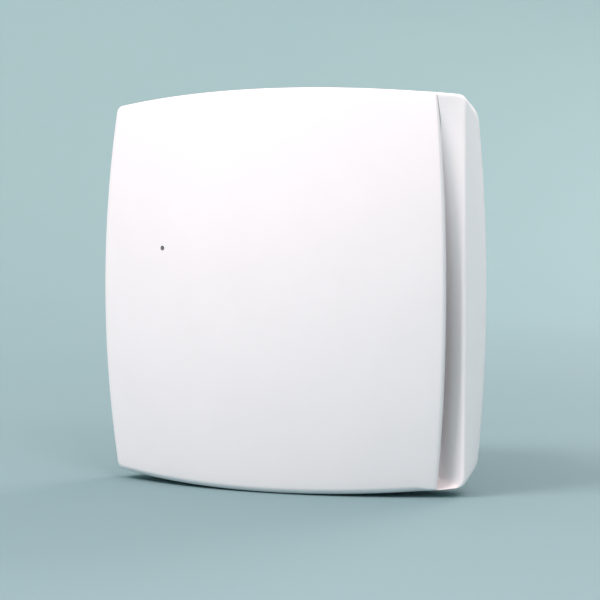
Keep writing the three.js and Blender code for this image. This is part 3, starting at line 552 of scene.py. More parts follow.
def cover_shell():
    skin, wall, round_edge = COVER.skin, COVER.wall, RIM.round
    floor_edge = loop_of(RIM_EDGE, rim_region, COVER.floor_inset, 0)

    def ledge(x):
        return seam_depth(x) - SEAM.gap

    def lip(x):
        return ledge(x) + (COVER.lip if x < COVER.split - COVER.lip_end else 0.1)

    def inward(share, drop):
        loop = []
        for x, _, z in floor_edge:
            reach = COVER.inlet / hypot(x, z)
            x, z = lerp(x * reach, x, share), lerp(z * reach, z, share)
            loop.append((x, -(cover_depth(x, z) - drop), z))
        return loop

    shares = np.linspace(0, 1, 26)
    loops = [inward(share, 0) for share in shares]
    loops += [cover_loop(COVER.lip_inset, lip, rim_inset, 0) for rim_inset in np.linspace(6.6, 2.1, 10)]
    ledge_path = [(COVER.ledge, lip), (COVER.ledge - 0.1, ledge)]
    ledge_path += [(distance, ledge) for distance in (1.9, 1.4, 0.9, 0.5, 0.3)]
    ledge_path += [(0.08, lambda x: ledge(x) - 0.1), (0, lambda x: ledge(x) - 0.3)]
    for (ledge_inset, ledge_depth), (draw_in, drop) in zip(ledge_path, quarter(8)):
        loops.append(cover_loop(ledge_inset, ledge_depth, round_edge * draw_in, round_edge * drop))
    low = [(x, -WALL_GAP, z) for x, z in (base_region(u, v) for u, v in BASE_EDGE)]
    high = loops[-1]
    for share in (0.25, 0.5, 0.75, 0.97):
        loops.append([tuple(lerp(a, b, share) for a, b in zip(p, q)) for p, q in zip(high, low)])
    for distance in (COVER.wall_round, wall - COVER.wall_round):
        loops.append(loop_of(BASE_EDGE, base_region, distance, WALL_GAP))
    loops.append(loop_of(BASE_EDGE, base_region, wall, WALL_GAP + COVER.wall_round))
    loops.append(cover_loop(wall + 0.4, lambda x: ledge(x) - skin, wall + 0.8, skin + 0.6))
    loops += [inward(share, skin) for share in reversed(shares)]
    return loft(loops)


def cover_frame():
    rows = ((PANEL_POSTS, HOLE.socket), (COVER_SCREWS, HOLE.captive), ([(LED.x, LED.z)], HOLE.light))
    through = COVER.floor - 5, COVER.floor + 6
    cuts = [disc(x, z, radius, *through) for spots, radius in rows for x, z in spots]
    return shape(cover_shell(), minus=[panel_shell(GAP), *cuts])


def inlet_guard():
    depths = COVER.floor - COVER.skin, COVER.floor
    ys = -depths[1], -depths[0]
    rings = [ring(radius - GUARD.rib, radius + GUARD.rib, *ys, edge=0.35) for radius in GUARD.rings]
    rings.append(ring(COVER.inlet - 2.4, COVER.inlet - 0.5, *ys, edge=0.35))
    reach = GUARD.hub - 3, COVER.inlet - 2 * GUARD.rib
    spokes = [spoke(30 + 60 * i, reach, ys, 2 * GUARD.rib, edge=0.3) for i in range(GUARD.spokes)]
    return shape(disc(0, 0, GUARD.hub, *depths, sides=SIDES, edge=0.5), plus=[*rings, *spokes])


# ---- Base housing ----
def wire_slot(reach, ys):
    return spoke(WIRE.angle, reach, ys, WIRE.slot, edge=0.4)


def duct_tube():
    bore, outer, end = DUCT.bore, DUCT.outer, DUCT.end
    flare = BELL.radius - BELL.lip - bore
    steps = 14
    bell = []
    for i in range(steps + 1):
        angle = pi / 2 * i / steps
        y = -BELL.start - (BELL.depth - BELL.start) * sin(angle)
        bell.append((bore + flare * (1 - cos(angle)), y))
    outside = [(BELL.radius, -BELL.depth), (outer + 1.2, -6), (outer, -1), (outer, end - 0.8),
               (outer - 0.6, end)]
    stop = [(bore, end), (bore, DUCT.stop_end), (DUCT.stop, DUCT.stop_end),
            (DUCT.stop, DUCT.stop_end - DUCT.stop_thick), (bore, DUCT.stop_end - 2)]
    return turned([*bell, *outside, *stop], edge=0.35)


def posts(spots, radius, height):
    return [disc(x, z, radius, PLATE.thick - 0.5, height, edge=0.3) for x, z in spots]


def holes(spots, radius, start, height):
    return [disc(x, z, radius, start, height, sides=32) for x, z in spots]


def back_plate():
    top, scale = PLATE.thick, inset(PLATE.inset)
    edge = square_edge(BASE_CORNERS, ends=40, left=30, right=30)
    clamp_screws = [(middle(f"clamp_screw_{i}").x, middle(f"clamp_screw_{i}").z) for i in (1, 2)]
    screw_posts = COVER.floor - COVER.skin - 0.4
    rib, half = (top - PLATE.bury, top + PLATE.rib), PLATE.rib_half
    ribs = [box((-20, 20), rib, (z - half, z + half), edge=0.25) for z in (-80, 80)]
    ribs += [box((x - half, x + half), rib, (-50, 50), edge=0.25) for x in (66, 74)]
    ejector_marks = [disc(x, z, 3, -1, 0.15) for x in (-76, 76) for z in (-40, 0, 40)]
    return shape(
        slab([base_region(u * scale, v * scale) for u, v in edge], 0, top, edge=0.4),
        plus=[*posts(WALL_HOLES, POST.wall, POST.low), *posts(BOX_SCREWS, POST.box, POST.low),
              *posts(BOARD_SCREWS + BOARD_RESTS, POST.board, POST.board_top),
              *posts(COVER_SCREWS, POST.cover, screw_posts), *ribs],
        minus=[disc(0, 0, DUCT.bore + 1, -1, top + 1, sides=SIDES),
               disc(CABLE.x, CABLE.z, HOLE.cable, -1, top + 1), *holes(WALL_HOLES, HOLE.wall, -1, 5),
               *holes(BOX_SCREWS + BOARD_SCREWS + clamp_screws, HOLE.pilot, PILOT_REAR, 5),
               *holes(COVER_SCREWS, HOLE.pilot, PILOT_REAR, 16), *ejector_marks])


def base_housing():
    pin_holes = on_pivot(disc(0, 0, FLAP.pin + 0.4, -DUCT.outer - 2, DUCT.outer + 2))
    lead_notch = wire_slot((DUCT.bore - 3, BELL.radius + 2), (-BELL.depth - 1, -LEAD_SLOTS.bell))
    braces = [spoke(angle, (DUCT.outer - 1, DUCT.outer + 5), (-6, 0.5 - PLATE.thick), PLATE.rib, edge=0.25)
              for angle in BRACE_ANGLES]
    return shape(back_plate(), plus=[duct_tube(), *braces], minus=[pin_holes, lead_notch])


def cable_grommet():
    bore, neck, flange, front = GROMMET.bore, GROMMET.neck, GROMMET.flange, -GROMMET.front
    plate = -PLATE.thick - GAP
    profile = [(bore, front), (flange, front), (flange, plate), (neck, plate), (neck, -GAP), (bore, -GAP)]
    return moved(turned(profile, edge=0.6), (CABLE.x, 0, CABLE.z))


# ---- Impeller, motor bracket and motor ----
def impeller_blade(turn):
    """A thin curved section with rounded edges, turned flatter towards its tip."""
    hub, radius, skin = IMPELLER.hub, IMPELLER.radius, IMPELLER.skin
    stations, steps = 14, 16
    loops = []
    for k in range(stations):
        share = k / (stations - 1)
        reach = lerp(hub - BLADE.root, radius, share)
        pitch, chord = radians(lerp(*BLADE.pitch, share)), lerp(*BLADE.chord, share)
        loop = []
        for sign in (1, -1):
            for i in range(steps):
                along = -cos(pi * i / steps) * sign / 2
                thickness = sqrt(max(0, 1 - (2 * along) ** 8))
                camber = BLADE.camber * (1 - (2 * along) ** 2) + sign * skin / 2 * thickness
                sweep = (along * chord * cos(pitch) - camber * sin(pitch)) / reach
                axial = along * chord * sin(pitch) + camber * cos(pitch)
                angle = turn + sweep
                loop.append((reach * cos(angle), axial + BLADE.shift, reach * sin(angle)))
        loops.append(loop)
    return loft(loops, [sum(map(Vector, loop), Vector()) / len(loop) for loop in (loops[0], loops[-1])])


def impeller():
    hub, front, rear, skin = IMPELLER.hub, IMPELLER.front, IMPELLER.rear, IMPELLER.skin
    bore = SHAFT.bore
    profile = [(bore, front + 0.6), (hub - 6, front), (hub - 2, front + 1), (hub, front + 4), (hub, rear),
               (hub - skin, rear), (hub - skin, front + 5), (hub - 4, front + 3), (6, front + 3),
               (6, rear - 1), (bore, rear - 1)]
    blades = [impeller_blade(angle) for angle in turns(IMPELLER.blades)]
    return shape(turned(profile, edge=0.8), plus=blades)


def motor_screw_holes(start, height):
    spots = [polar(MOTOR.screws, angle) for angle in MOTOR_SCREW_ANGLES]
    return [disc(x, z, MOTOR.screw_hole, start, height) for x, z in spots]


def motor_bracket():
    radius, cup, front, rear = MOTOR.radius, CUP.radius, CUP.front, CUP.rear
    inner, floor, hole, bore = radius + CUP.air, rear - CUP.disk, CUP.hole, DUCT.bore
    seat = turned([(inner, front), (cup, front), (cup, rear), (hole, rear), (hole, floor), (inner, floor)],
                  edge=0.5)
    outer_ring = ring(bore - OUTER_RING.inner, bore - OUTER_RING.outer,
                      OUTER_RING.front, OUTER_RING.rear)
    vanes = [spoke(angle, (cup - 1, bore - 1.2), (front + 1, rear - 1), OUTER_RING.vane, edge=0.6)
             for angle in VANE_ANGLES]
    slots = [wire_slot((radius - 1, cup + 2), LEAD_SLOTS.cup),
             wire_slot((bore - 4, bore + 1), LEAD_SLOTS.ring)]
    return shape(seat, plus=[outer_ring, *vanes], minus=[*motor_screw_holes(-rear - 1, -rear + 3), *slots])


def motor_can():
    front, rear, radius, skin = MOTOR.front, MOTOR.rear, MOTOR.radius, MOTOR.skin
    hole, seat, wall = BEARING.hole, BEARING.seat, BEARING.wall
    return turned([(hole, front), (radius - 1, front), (radius, front + 1), (radius, rear),
                   (radius - skin, rear), (radius - skin, front + skin), (wall, front + skin),
                   (wall, front + 6.5), (seat, front + 6.5), (seat, front + 1), (hole, front + 1)], edge=0.5)


def motor_end_cap():
    front, back, radius = MOTOR.rear + GAP, CUP.rear - CUP.disk - GAP, MOTOR.radius
    hole, seat, wall = BEARING.hole, BEARING.seat, BEARING.wall
    profile = [(hole, back - 1), (seat, back - 1), (seat, front - 3.2), (wall, front - 3.2), (wall, front),
               (radius, front), (radius, back), (hole, back)]
    return shape(turned(profile, edge=0.4), minus=motor_screw_holes(-back - 1, -front + 1))


def motor_lead():
    spots = [(polar(r, WIRE.angle), y) for r, y in LEAD]
    return swept([(x, y, z) for (x, z), y in spots])


# ---- Backdraught flaps ----
def on_pivot(body):
    """A body made about Y, laid along the flaps' pin."""
    return moved(moved(body, turn=90, axis="X"), (0, FLAP.pivot, 0))


def flap(side, knuckles):
    radius, front, rear, edge = FLAP.radius, FLAP.front, FLAP.rear, FLAP.edge
    start, steps = acos(-edge / radius), 64
    angles = [start + (2 * pi - 2 * start) * i / steps for i in range(steps + 1)]
    leaf = slab([(radius * cos(a), radius * sin(a)) for a in angles], -rear, -front, edge=0.25)
    barrels = [on_pivot(ring(FLAP.pin + FLAP.play, FLAP.barrel, -z1, -z0, sides=40)) for z0, z1 in knuckles]
    webs = [box((-edge - 0.6, -1), (-rear, -front), knuckle) for knuckle in knuckles]
    return moved(shape(leaf, plus=[*barrels, *webs]), turn=0 if side < 0 else 180)


# ---- Electrics ----
def arc_outline(wall):
    """The wiring box, drawn in by `wall`: three straight sides and a hollow arc about the duct's axis."""
    left, right, top, arc = BOX.left + wall, BOX.right - wall, BOX.half - wall, BOX.arc + wall
    start, steps = atan2(-sqrt(arc ** 2 - right ** 2), right), 60
    angles = [start - 2 * (pi + start) * i / steps for i in range(steps + 1)]
    return [(left, -top), (right, -top), *((arc * cos(a), arc * sin(a)) for a in angles),
            (right, top), (left, top)]


def wiring_cover():
    wall, front, rear, half = BOX.skin, BOX.front, BOX.rear, BOX.half
    outer, inner = arc_outline(0), arc_outline(wall)
    tabs = []
    for x, z in BOX_SCREWS:
        reach = (half - 1, TAB.end) if z > 0 else (-TAB.end, 1 - half)
        tabs.append(box((x - TAB.half, x + TAB.half), (TAB.rear, TAB.front), reach, edge=0.3))
    knobs = [middle("timer_knob"), middle("humidity_knob")]
    scale_marks = []
    for knob in knobs:
        for angle in range(-45, 226, 45):
            x, z = polar(KNOB.mark_radius, angle)
            scale_marks.append(disc(knob.x + x, knob.z + z, KNOB.mark, front - 0.2, front + 1, sides=12))
    tray = shape(slab(outer, rear, front, edge=0.5), minus=[slab(inner, rear - 1, front - wall, edge=0.3)])
    notch = box((CABLE.x - NOTCH.half, CABLE.x + NOTCH.half), (rear - 1, NOTCH.front),
                (-half - 1, NOTCH.reach - half), edge=1)
    shafts = [(knob.x, knob.z) for knob in knobs]
    return shape(tray, plus=tabs, minus=[
        *holes(BOX_SCREWS, HOLE.screw, 3, 7), *holes(shafts, KNOB.hole, front - 3, front + 1),
        disc(LED.x, LED.z, HOLE.light, front - 3, front + 1), *scale_marks, notch,
        wire_slot((BOX.arc - 2, BOX.arc + 3), LEAD_SLOTS.box_wall)])


def block_of(node, edge):
    """A rounded block that fills a CAD node's box."""
    return box(*faces_of(node)[:3], edge)


def terminal_block():
    _, (_, top), (low, high), _ = faces_of("terminal_block")
    poles = [middle(f"terminal_screw_{i}") for i in (1, 2, 3, 4)]
    wells = [disc(pole.x, poles[0].z, 2.1, top - 4, top + 1) for pole in poles]
    entries = [box((pole.x - 1.9, pole.x + 1.9), (top - 5.4, top - 1.6), (high - 2.5, high + 1), edge=0.4)
               for pole in poles]
    grooves = [box((pole.x + 2.6, pole.x + 3.4), (top - 1.2, top + 1), (low - 1, high + 1))
               for pole in poles[:-1]]
    return shape(block_of("terminal_block", 0.5), minus=[*wells, *entries, *grooves])


def relay():
    (left, right), (foot, top), ends, _ = faces_of("relay")
    seam = foot + 1.2
    grooves = [box((left - 1, right + 1), (seam, seam + 0.25), (z - 0.12, z + 0.12)) for z in ends]
    vent = disc(left + 3, ends[1] - 3, 0.8, top - 0.5, top + 1, sides=24)
    return shape(block_of("relay", 0.5), minus=[*grooves, vent])


def control_chip():
    (left, right), (foot, top), (low, high), _ = faces_of("control_chip")
    body = box((left + 1.2, right - 1.2), (foot + 0.2, top), (low, high), edge=0.2)
    legs = [box((left, right), (foot, foot + 0.45), (z - 0.25, z + 0.25))
            for z in (lerp(low + 0.9, high - 0.9, i / 5) for i in range(6))]
    dimple = disc(left + 2.2, high - 1, 0.4, top - 0.15, top + 1, sides=20)
    return shape(body, plus=legs, minus=[dimple])


def humidity_sensor():
    (left, right), (_, top), _, centre = faces_of("humidity_sensor")
    vents = [box((left + 1, right - 1), (top - 0.8, top + 1), (centre.z + z - 0.3, centre.z + z + 0.3))
             for z in (-1.8, -0.6, 0.6, 1.8)]
    return shape(block_of("humidity_sensor", 0.4), minus=vents)


def trimmer(node):
    _, (_, top), _, centre = faces_of(node)
    return shape(block_of(node, 0.35), minus=[disc(centre.x, centre.z, 3.6, top - 0.4, top + 1)])


def knob(node):
    """A fluted knob with an arrow cut in its face."""
    (left, right), (foot, top), _, centre = faces_of(node)
    outline = []
    for angle in turns(KNOB.flutes * 8):
        reach = (right - left) / 2 * (1 - KNOB.depth * abs(sin(KNOB.flutes * angle / 2)) ** 6)
        outline.append((reach * cos(angle), reach * sin(angle)))
    depths = top - 1, top + 1
    arrow = [box((-2.4, 1.6), depths, (-0.5, 0.5)), box((1.2, 2.2), depths, (-1.4, 1.4))]
    return moved(shape(slab(outline, foot, top, edge=0.25), minus=arrow), (centre.x, 0, centre.z))


def cable_clamp():
    """A bridge over the supply cable, with teeth on its underside, on two legs."""
    width, (foot, top), ends, centre = faces_of("cable_clamp")
    feet = [centre.x - CLAMP.reach, centre.x + CLAMP.reach]
    legs = [box((x - CLAMP.leg, x + CLAMP.leg), (foot, top - 0.5), ends, edge=0.45) for x in feet]
    teeth = [box((centre.x - CLAMP.tooth, centre.x + CLAMP.tooth), (CLAMP.under - 0.5, CLAMP.under + 0.5),
                 (z - 0.4, z + 0.4), edge=0.15) for z in (centre.z - 1.4, centre.z, centre.z + 1.4)]
    bridge = box(width, (CLAMP.under, top), ends, edge=0.45)
    return shape(bridge, plus=[*legs, *teeth],
                 minus=[disc(x, centre.z, HOLE.screw, foot - 1, top + 1) for x in feet])


def status_led():
    tip, foot = (corner.y for corner in span("status_led"))
    return bead(middle("status_led"), [(0, tip), (0.7, tip + 0.1), (1.15, tip + 0.6), (1.2, foot - 0.8),
                                       (1.4, foot - 0.8), (1.4, foot), (0, foot)], 0.3)


def status_lens():
    tip, foot = (corner.y for corner in span("status_lens"))
    return bead(LED, [(0, tip), (0.8, tip), (0.8, tip + 3.2), (1.5, tip + 3.4), (1.5, foot), (0, foot)], 0.25)


def wall_seal():
    low, high = span("wall_seal")
    return ring(DUCT.outer + GAP, high.x, low.y, high.y, edge=0.5)


def bushing(node):
    """A plain ring about the shaft that fills a CAD node's box."""
    low, high = span(node)
    return ring(SHAFT.bore, high.x, low.y, high.y, edge=0.4)


def impeller_clip():
    low, high = span("impeller_clip")
    bore = SHAFT.bore
    profile = [(bore, low.y), (5, low.y), (6.5, high.y), (bore, high.y)]
    prongs = [spoke(angle, (bore - 1, 4.6), (low.y - 1, high.y + 1), 0.6) for angle in range(0, 180, 60)]
    return shape(turned(profile, edge=0.3), minus=prongs)


def motor_shaft():
    low, high = span("motor_shaft")
    radius = SHAFT.radius
    return turned([(0, low.y), (radius, low.y), (radius, high.y), (0, high.y)], edge=0.5)


def flap_pin():
    low, high = span("flap_pin")
    return on_pivot(turned([(0, low.z), (FLAP.pin, low.z), (FLAP.pin, high.z), (0, high.z)], sides=32))


def winding(node):
    """A coil of wire: its section swells in rows, as the turns of wire lie side by side."""
    low, high = span(node)
    centre, half_height = (low.y + high.y) / 2, (high.y - low.y) / 2
    inner, outer = 18.2, high.x
    middle_radius, half_width = (inner + outer) / 2, (outer - inner) / 2
    profile, rows = [], 10
    for angle in turns(rows * 6):
        swell = 0.93 + 0.07 * abs(sin(rows * angle / 2))
        y = centre + half_height * swell * sin(angle)
        profile.append((middle_radius + half_width * swell * cos(angle), y))
    return turned(profile, edge=0)


def screw(node, shank, faces_front):
    """A pan-head screw with a cross recess and a ringed shank, in a CAD node's box."""
    low, high = span(node)
    centre, head = middle(node), (high.x - low.x) / 2
    length = high.y - low.y
    height = head * 0.62
    profile = [(0, -height), (head * 0.55, -height * 0.94), (head * 0.9, -height * 0.6),
               (head, -height * 0.2), (head, 0), (shank, 0)]
    depth = 0.5
    while depth < length - height - shank:
        profile += [(shank, depth), (shank * 0.8, depth + 0.3)]
        depth += 0.6
    profile += [(shank * 0.8, length - height - shank), (0, length - height)]
    blade = head * 0.13
    recess = [box((-head * 0.55, head * 0.55), (height * 0.35, height * 2), (-blade, blade)),
              box((-blade, blade), (height * 0.35, height * 2), (-head * 0.55, head * 0.55))]
    body = shape(turned(profile, sides=40, edge=0.08), minus=recess)
    if faces_front:
        return moved(body, (centre.x, low.y + height, centre.z))
    return moved(body, (centre.x, high.y - height, centre.z), turn=180, axis="X")


# ---- Materials ----
class Finish:
    """A Principled material whose textures are placed in metres on the piece itself."""

    def __init__(self, name, **sockets):
        self.material = bpy.data.materials.new(name)
        self.material.use_nodes = True
        self.tree = self.material.node_tree
        self.shader = next(node for node in self.tree.nodes if node.type == "BSDF_PRINCIPLED")
        self.place = self.add("ShaderNodeTexCoord").outputs["Object"]
        self.set(**sockets)

    def set(self, **sockets):
        """Sets sockets of the shader by name, with _ for a space, to a value or to another node's output."""
        for name, value in sockets.items():
            self.connect(self.shader.inputs[name.replace("_", " ")], value)

    def connect(self, socket, value):
        if isinstance(value, bpy.types.NodeSocket):
            self.tree.links.new(value, socket)
        else:
            socket.default_value = value

    def add(self, kind, inputs=(), **settings):
        node = self.tree.nodes.new(kind)
        for name, value in settings.items():
            setattr(node, name, value)
        for socket, value in dict(inputs).items():
            self.connect(node.inputs[socket], value)
        return node

    def noise(self, size, detail=2, stretch=(1, 1, 1)):
        """Noise with features of about `size` millimetres, longer along an axis where stretch is over 1."""
        scale = [1 / s for s in stretch]
        place = self.add("ShaderNodeMapping", {"Vector": self.place, "Scale": scale}).outputs["Vector"]
        inputs = {"Vector": place, "Scale": 1 / (size * MM), "Detail": detail}
        return self.add("ShaderNodeTexNoise", inputs).outputs["Fac"]

    def bands(self, pitch, axis, distortion=0):
        inputs = {"Vector": self.place, "Scale": 1 / (pitch * MM) * pi / 10, "Distortion": distortion}
        return self.add("ShaderNodeTexWave", inputs, bands_direction=axis).outputs["Fac"]

    def worn_edges(self):
        """0 on flat surfaces and in hollows, up to 1 on sharp outer edges."""
        return self.span(self.add("ShaderNodeNewGeometry").outputs["Pointiness"], 0, 1, 0.52, 0.62)

    def span(self, value, low, high, start=0.0, end=1.0):
        inputs = {"Value": value, "From Min": start, "From Max": end, "To Min": low, "To Max": high}
        return self.add("ShaderNodeMapRange", inputs).outputs["Result"]

    def sum(self, a, b, operation="ADD"):
        return self.add("ShaderNodeMath", {0: a, 1: b}, operation=operation).outputs[0]

    def mix(self, share, a, b):
        node = self.add("ShaderNodeMix", {"Factor": share}, data_type="RGBA")
        colours = [socket for socket in node.inputs if socket.type == "RGBA"]
        self.connect(colours[0], a)
        self.connect(colours[1], b)
        return next(socket for socket in node.outputs if socket.type == "RGBA")

    def surface(self, share, low, high, roughness, normal):
        """The material, with a colour between `low` and `high`."""
        self.set(Base_Color=self.mix(share, low, high), Roughness=roughness, Normal=normal)
        return self.material

    def bump(self, height, depth, below=None):
        """Raises the surface by up to `depth` millimetres."""
        inputs = {"Height": height, "Distance": depth * MM, "Strength": 1.0}
        if below:
            inputs["Normal"] = below
        return self.add("ShaderNodeBump", inputs).outputs["Normal"]


def tint(colour, factor):
    return (*(min(channel * factor, 1) for channel in colour), 1)


def moulded_plastic(name, colour, roughness, wear=1.03):
    """Moulded plastic: a fine spark texture, slow mottling, and edges rubbed smoother and paler."""
    finish = Finish(name)
    mottling = finish.noise(22, detail=3)
    edges = finish.worn_edges()
    body = finish.mix(mottling, tint(colour, 0.975), tint(colour, 1.015))
    gloss = finish.span(finish.noise(6, detail=4), roughness - 0.05, roughness + 0.05, 0.3, 0.7)
    rubbed = finish.sum(gloss, finish.span(edges, 0, -0.1))
    orange_peel = finish.bump(finish.noise(4.5), 0.012)
    normal = finish.bump(finish.noise(0.45, detail=3), 0.007, orange_peel)
    return finish.surface(edges, body, tint(colour, wear), rubbed, normal)


def clear_plastic(name, colour):
    finish = Finish(name, Transmission_Weight=0.8, IOR=1.49)
    haze = finish.noise(1.5, detail=3)
    return finish.surface(haze, tint(colour, 0.94), tint(colour, 1), finish.span(haze, 0.1, 0.24),
                          finish.bump(haze, 0.01))


def rubber(name, colour):
    finish = Finish(name)
    bloom = finish.noise(3, detail=4)
    return finish.surface(bloom, tint(colour, 0.8), tint(colour, 1.35), finish.span(bloom, 0.7, 0.92),
                          finish.bump(finish.noise(0.3, detail=4), 0.02))


def foam(name, colour):
    finish = Finish(name)
    inputs = {"Vector": finish.place, "Scale": 1 / (0.7 * MM)}
    cells = finish.add("ShaderNodeTexVoronoi", inputs, feature="F1").outputs["Distance"]
    return finish.surface(cells, tint(colour, 0.55), tint(colour, 1.3), 0.95, finish.bump(cells, 0.25))


def plated_metal(name, colour, roughness, cast):
    """Zinc-plated or rolled steel: fine streaks, a faint cast of another colour and brighter worn edges."""
    finish = Finish(name, Metallic=1.0)
    streaks = finish.noise(0.5, detail=4, stretch=(1, 8, 1))
    edges = finish.worn_edges()
    body = finish.mix(finish.noise(3, detail=3), tint(colour, 1), tint(cast, 1))
    dullness = finish.span(streaks, roughness - 0.1, roughness + 0.14, 0.3, 0.7)
    return finish.surface(edges, body, tint(colour, 1.25), dullness, finish.bump(streaks, 0.008))


def copper_winding(name, colour):
    """Enamelled wire, wound in rows round the axis."""
    finish = Finish(name, Metallic=1.0, Coat_Weight=0.6, Coat_Roughness=0.12)
    rows = finish.bands(0.6, "Y", distortion=0.6)
    shade = finish.noise(2, detail=3)
    shares = finish.sum(rows, shade, "MULTIPLY")
    return finish.surface(shares, tint(colour, 0.45), tint(colour, 1.2), finish.span(shade, 0.22, 0.42),
                          finish.bump(rows, 0.12))


def laminated_iron(name, colour):
    """A stack of thin punched sheets."""
    finish = Finish(name, Metallic=1.0)
    sheets = finish.bands(1.0, "Y")
    stains = finish.noise(4, detail=4)
    shares = finish.sum(sheets, stains, "MULTIPLY")
    return finish.surface(shares, tint(colour, 0.5), tint(colour, 1.15), finish.span(stains, 0.35, 0.6),
                          finish.bump(sheets, 0.08))


def board_laminate(name, colour):
    """Solder-masked laminate, with copper tracks that stand up under the mask."""
    finish = Finish(name, Coat_Weight=0.3, Coat_Roughness=0.2)
    texture = finish.add("ShaderNodeTexVoronoi", {"Vector": finish.place, "Scale": 260, "Randomness": 0.55},
                         feature="F1", distance="CHEBYCHEV")
    tracks = finish.span(texture.outputs["Distance"], 0, 1, 0.40, 0.44)
    weave = finish.noise(0.4, detail=2)
    body = finish.mix(weave, tint(colour, 0.9), tint(colour, 1.1))
    return finish.surface(tracks, body, tint(colour, 1.7), finish.span(weave, 0.35, 0.5),
                          finish.bump(tracks, 0.03))


MATERIALS = {name: make(name, *values) for name, make, *values in (
    ("white_shell", moulded_plastic, (0.86, 0.857, 0.868), 0.42),
    ("inner_plastic", moulded_plastic, (0.74, 0.745, 0.742), 0.5),
    ("impeller_plastic", moulded_plastic, (0.62, 0.635, 0.64), 0.45),
    ("clear_plastic", clear_plastic, (0.82, 0.88, 0.86)),
    ("board_laminate", board_laminate, (0.03, 0.14, 0.06)),
    ("dark_plastic", moulded_plastic, (0.025, 0.027, 0.03), 0.5, 1.6),
    ("blue_plastic", moulded_plastic, (0.04, 0.13, 0.3), 0.45, 1.3),
    ("terminal_plastic", moulded_plastic, (0.3, 0.34, 0.35), 0.5),
    ("rubber", rubber, (0.04, 0.042, 0.044)),
    ("foam", foam, (0.09, 0.095, 0.1)),
    ("steel", plated_metal, (0.5, 0.51, 0.52), 0.32, (0.46, 0.47, 0.49)),
    ("zinc_screw", plated_metal, (0.62, 0.63, 0.63), 0.3, (0.58, 0.6, 0.66)),
    ("copper_winding", copper_winding, (0.6, 0.25, 0.1)),
    ("laminated_iron", laminated_iron, (0.3, 0.31, 0.32)))}
SLOTS = {part["node"]: part["material_slot"] for part in frame["record"]["subparts"]}


# ---- Pieces ----
def round_edges(body, width):
    rounding = body.modifiers.new("edges", "BEVEL")
    rounding.width = width * MM
    rounding.segments = 2
    rounding.limit_method = "ANGLE"
    rounding.angle_limit = CREASE


def finish_piece(node, body, edge=0):
    """Turns a solid into metres, rounds its sharp edges, and lets it stand for a CAD node on its body."""
    body.name = body.data.name = f"{node}_detail"
    mesh = body.data
    mesh.transform(Matrix.Scale(MM, 4))
    if edge:
        round_edges(body, edge)
    mesh.shade_smooth()
    mesh.set_sharp_from_angle(angle=CREASE)
    mesh.materials.clear()
    mesh.materials.append(MATERIALS[SLOTS[node]])
    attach(body, frame["nodes"][node]["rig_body"])
    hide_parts(node)


for build, edge in (
        (front_panel, 0), (cover_frame, 0), (inlet_guard, 0.15), (base_housing, 0.15), (wall_seal, 0),
        (cable_grommet, 0), (cable_clamp, 0.1), (wiring_cover, 0.12), (terminal_block, 0.1), (relay, 0),
        (control_chip, 0), (humidity_sensor, 0.08), (status_led, 0), (status_lens, 0), (motor_lead, 0),
        (motor_bracket, 0.15), (motor_can, 0), (motor_end_cap, 0.12), (motor_shaft, 0), (impeller, 0.12),
        (impeller_clip, 0.08), (flap_pin, 0)):
    finish_piece(build.__name__, build(), edge)
finish_piece("dropper_capacitor", block_of("dropper_capacitor", 1.2))
for use in ("timer", "humidity"):
    finish_piece(f"{use}_trimmer", trimmer(f"{use}_trimmer"), 0.1)
    finish_piece(f"{use}_knob", knob(f"{use}_knob"), 0.08)
for side in ("front", "rear"):
    finish_piece(f"{side}_winding", winding(f"{side}_winding"))
    finish_piece(f"{side}_bearing", bushing(f"{side}_bearing"))
finish_piece("flap_left", flap(-1, LEFT_KNUCKLES), 0.12)
finish_piece("flap_right", flap(1, RIGHT_KNUCKLES), 0.12)
for group, count, shank in (("cover_screw", 2, 1.2), ("board_screw", 2, 1.2), ("clamp_screw", 2, 1.2),
                            ("wiring_cover_screw", 2, 1.2), ("terminal_screw", 4, 1.1),
                            ("motor_screw", 3, 1.3)):
    for number in range(1, count + 1):
        node = f"{group}_{number}"
        finish_piece(node, screw(node, shank, faces_front=group != "motor_screw"))

for node, body in frame["nodes"].items():
    if not body.hide_render:
        body.data.materials.clear()
        body.data.materials.append(MATERIALS[SLOTS[node]])
        round_edges(body, 0.2)


# ---- Stage, lights and camera ----
def stage_material():
    finish = Finish("stage", Roughness=0.85)
    reach = finish.add("ShaderNodeVectorMath", {0: finish.place}, operation="LENGTH").outputs["Value"]
    # Painted shade: the stage's colour runs from dark near the object to pale far away. It stands in for the
    # object's shadow and for the way light falls off across the floor and wall.
    colour = finish.mix(finish.span(reach, 0, 1, 0.1, 3.2), (0.155, 0.28, 0.30, 1), (0.36, 0.56, 0.57, 1))
    finish.set(Base_Color=finish.mix(finish.noise(400), colour, finish.mix(0.03, colour, (1, 1, 1, 1))))
    return finish.material


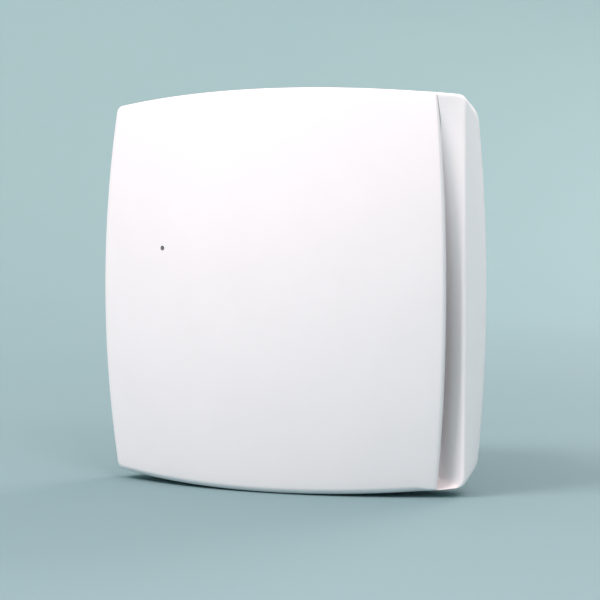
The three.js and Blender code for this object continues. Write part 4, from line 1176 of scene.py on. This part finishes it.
def backdrop(floor_z, flat=1500, wall=3000, height=3200):
    """A round studio floor that curves up into its wall, so that it looks the same from every side."""
    curve = wall - flat
    profile = [(0, floor_z), (flat * 0.5, floor_z), (flat, floor_z)]
    for i in range(1, 25):
        angle = pi / 2 * i / 24
        profile.append((flat + curve * sin(angle), floor_z + curve * (1 - cos(angle))))
    profile.append((wall, floor_z + height))
    sides = 128
    points = [(r * cos(angle), r * sin(angle), z) for r, z in profile[1:] for angle in turns(sides)]
    points.append((0, 0, floor_z))
    faces = [(i, (i + 1) % sides, len(points) - 1) for i in range(sides)]
    for row in range(len(profile) - 2):
        for i in range(sides):
            j = (i + 1) % sides
            here, there = row * sides, (row + 1) * sides
            faces.append((here + j, here + i, there + i, there + j))
    mesh = bpy.data.meshes.new("backdrop")
    mesh.from_pydata(points, [], faces)
    mesh.transform(Matrix.Scale(MM, 4))
    mesh.shade_smooth()
    mesh.materials.append(stage_material())
    placed("backdrop", mesh)


def aimed(name, data, place):
    """A light or camera that looks at the origin."""
    looker = placed(name, data)
    looker.location = place
    looker.rotation_mode = "QUATERNION"
    looker.rotation_quaternion = (-Vector(place)).to_track_quat("-Z", "Y")
    return looker


def area_light(name, place, size, power):
    data = bpy.data.lights.new(name, "AREA")
    data.shape = "SQUARE"
    data.size = size
    data.energy = power
    data.color = WARM
    aimed(name, data, place)


def camera(azimuth, elevation, distance, lens, shift):
    a, e = radians(azimuth), radians(elevation)
    back = Vector((sin(a) * cos(e), -cos(a) * cos(e), sin(e)))
    data = bpy.data.cameras.new("camera")
    data.lens = lens
    data.sensor_width = 36
    data.shift_x, data.shift_y = shift
    scene.camera = aimed("camera", data, back * distance)


WARM = (1, 0.775, 0.77)            # evens out the cool light that the floor throws back
backdrop(cad_bounds[0].z / MM - 0.3)
area_light("key", (-1.2, -1.3, 1.85), 1.0, 50)
area_light("side", (0.6, -0.75, 0.75), 0.4, 5.2)
area_light("rear", (0.7, 1.9, 1.4), 1.2, 26)
world = bpy.data.worlds.new("studio")
world.use_nodes = True
glow = world.node_tree.nodes["Background"].inputs
glow["Color"].default_value = (1, 0.79, 0.79, 1)
glow["Strength"].default_value = 1.5
scene.world = world
scene.view_settings.view_transform = "Standard"
camera(azimuth=19.65, elevation=1.64, distance=0.7478, lens=96.19, shift=(0.00235, -0.01876))
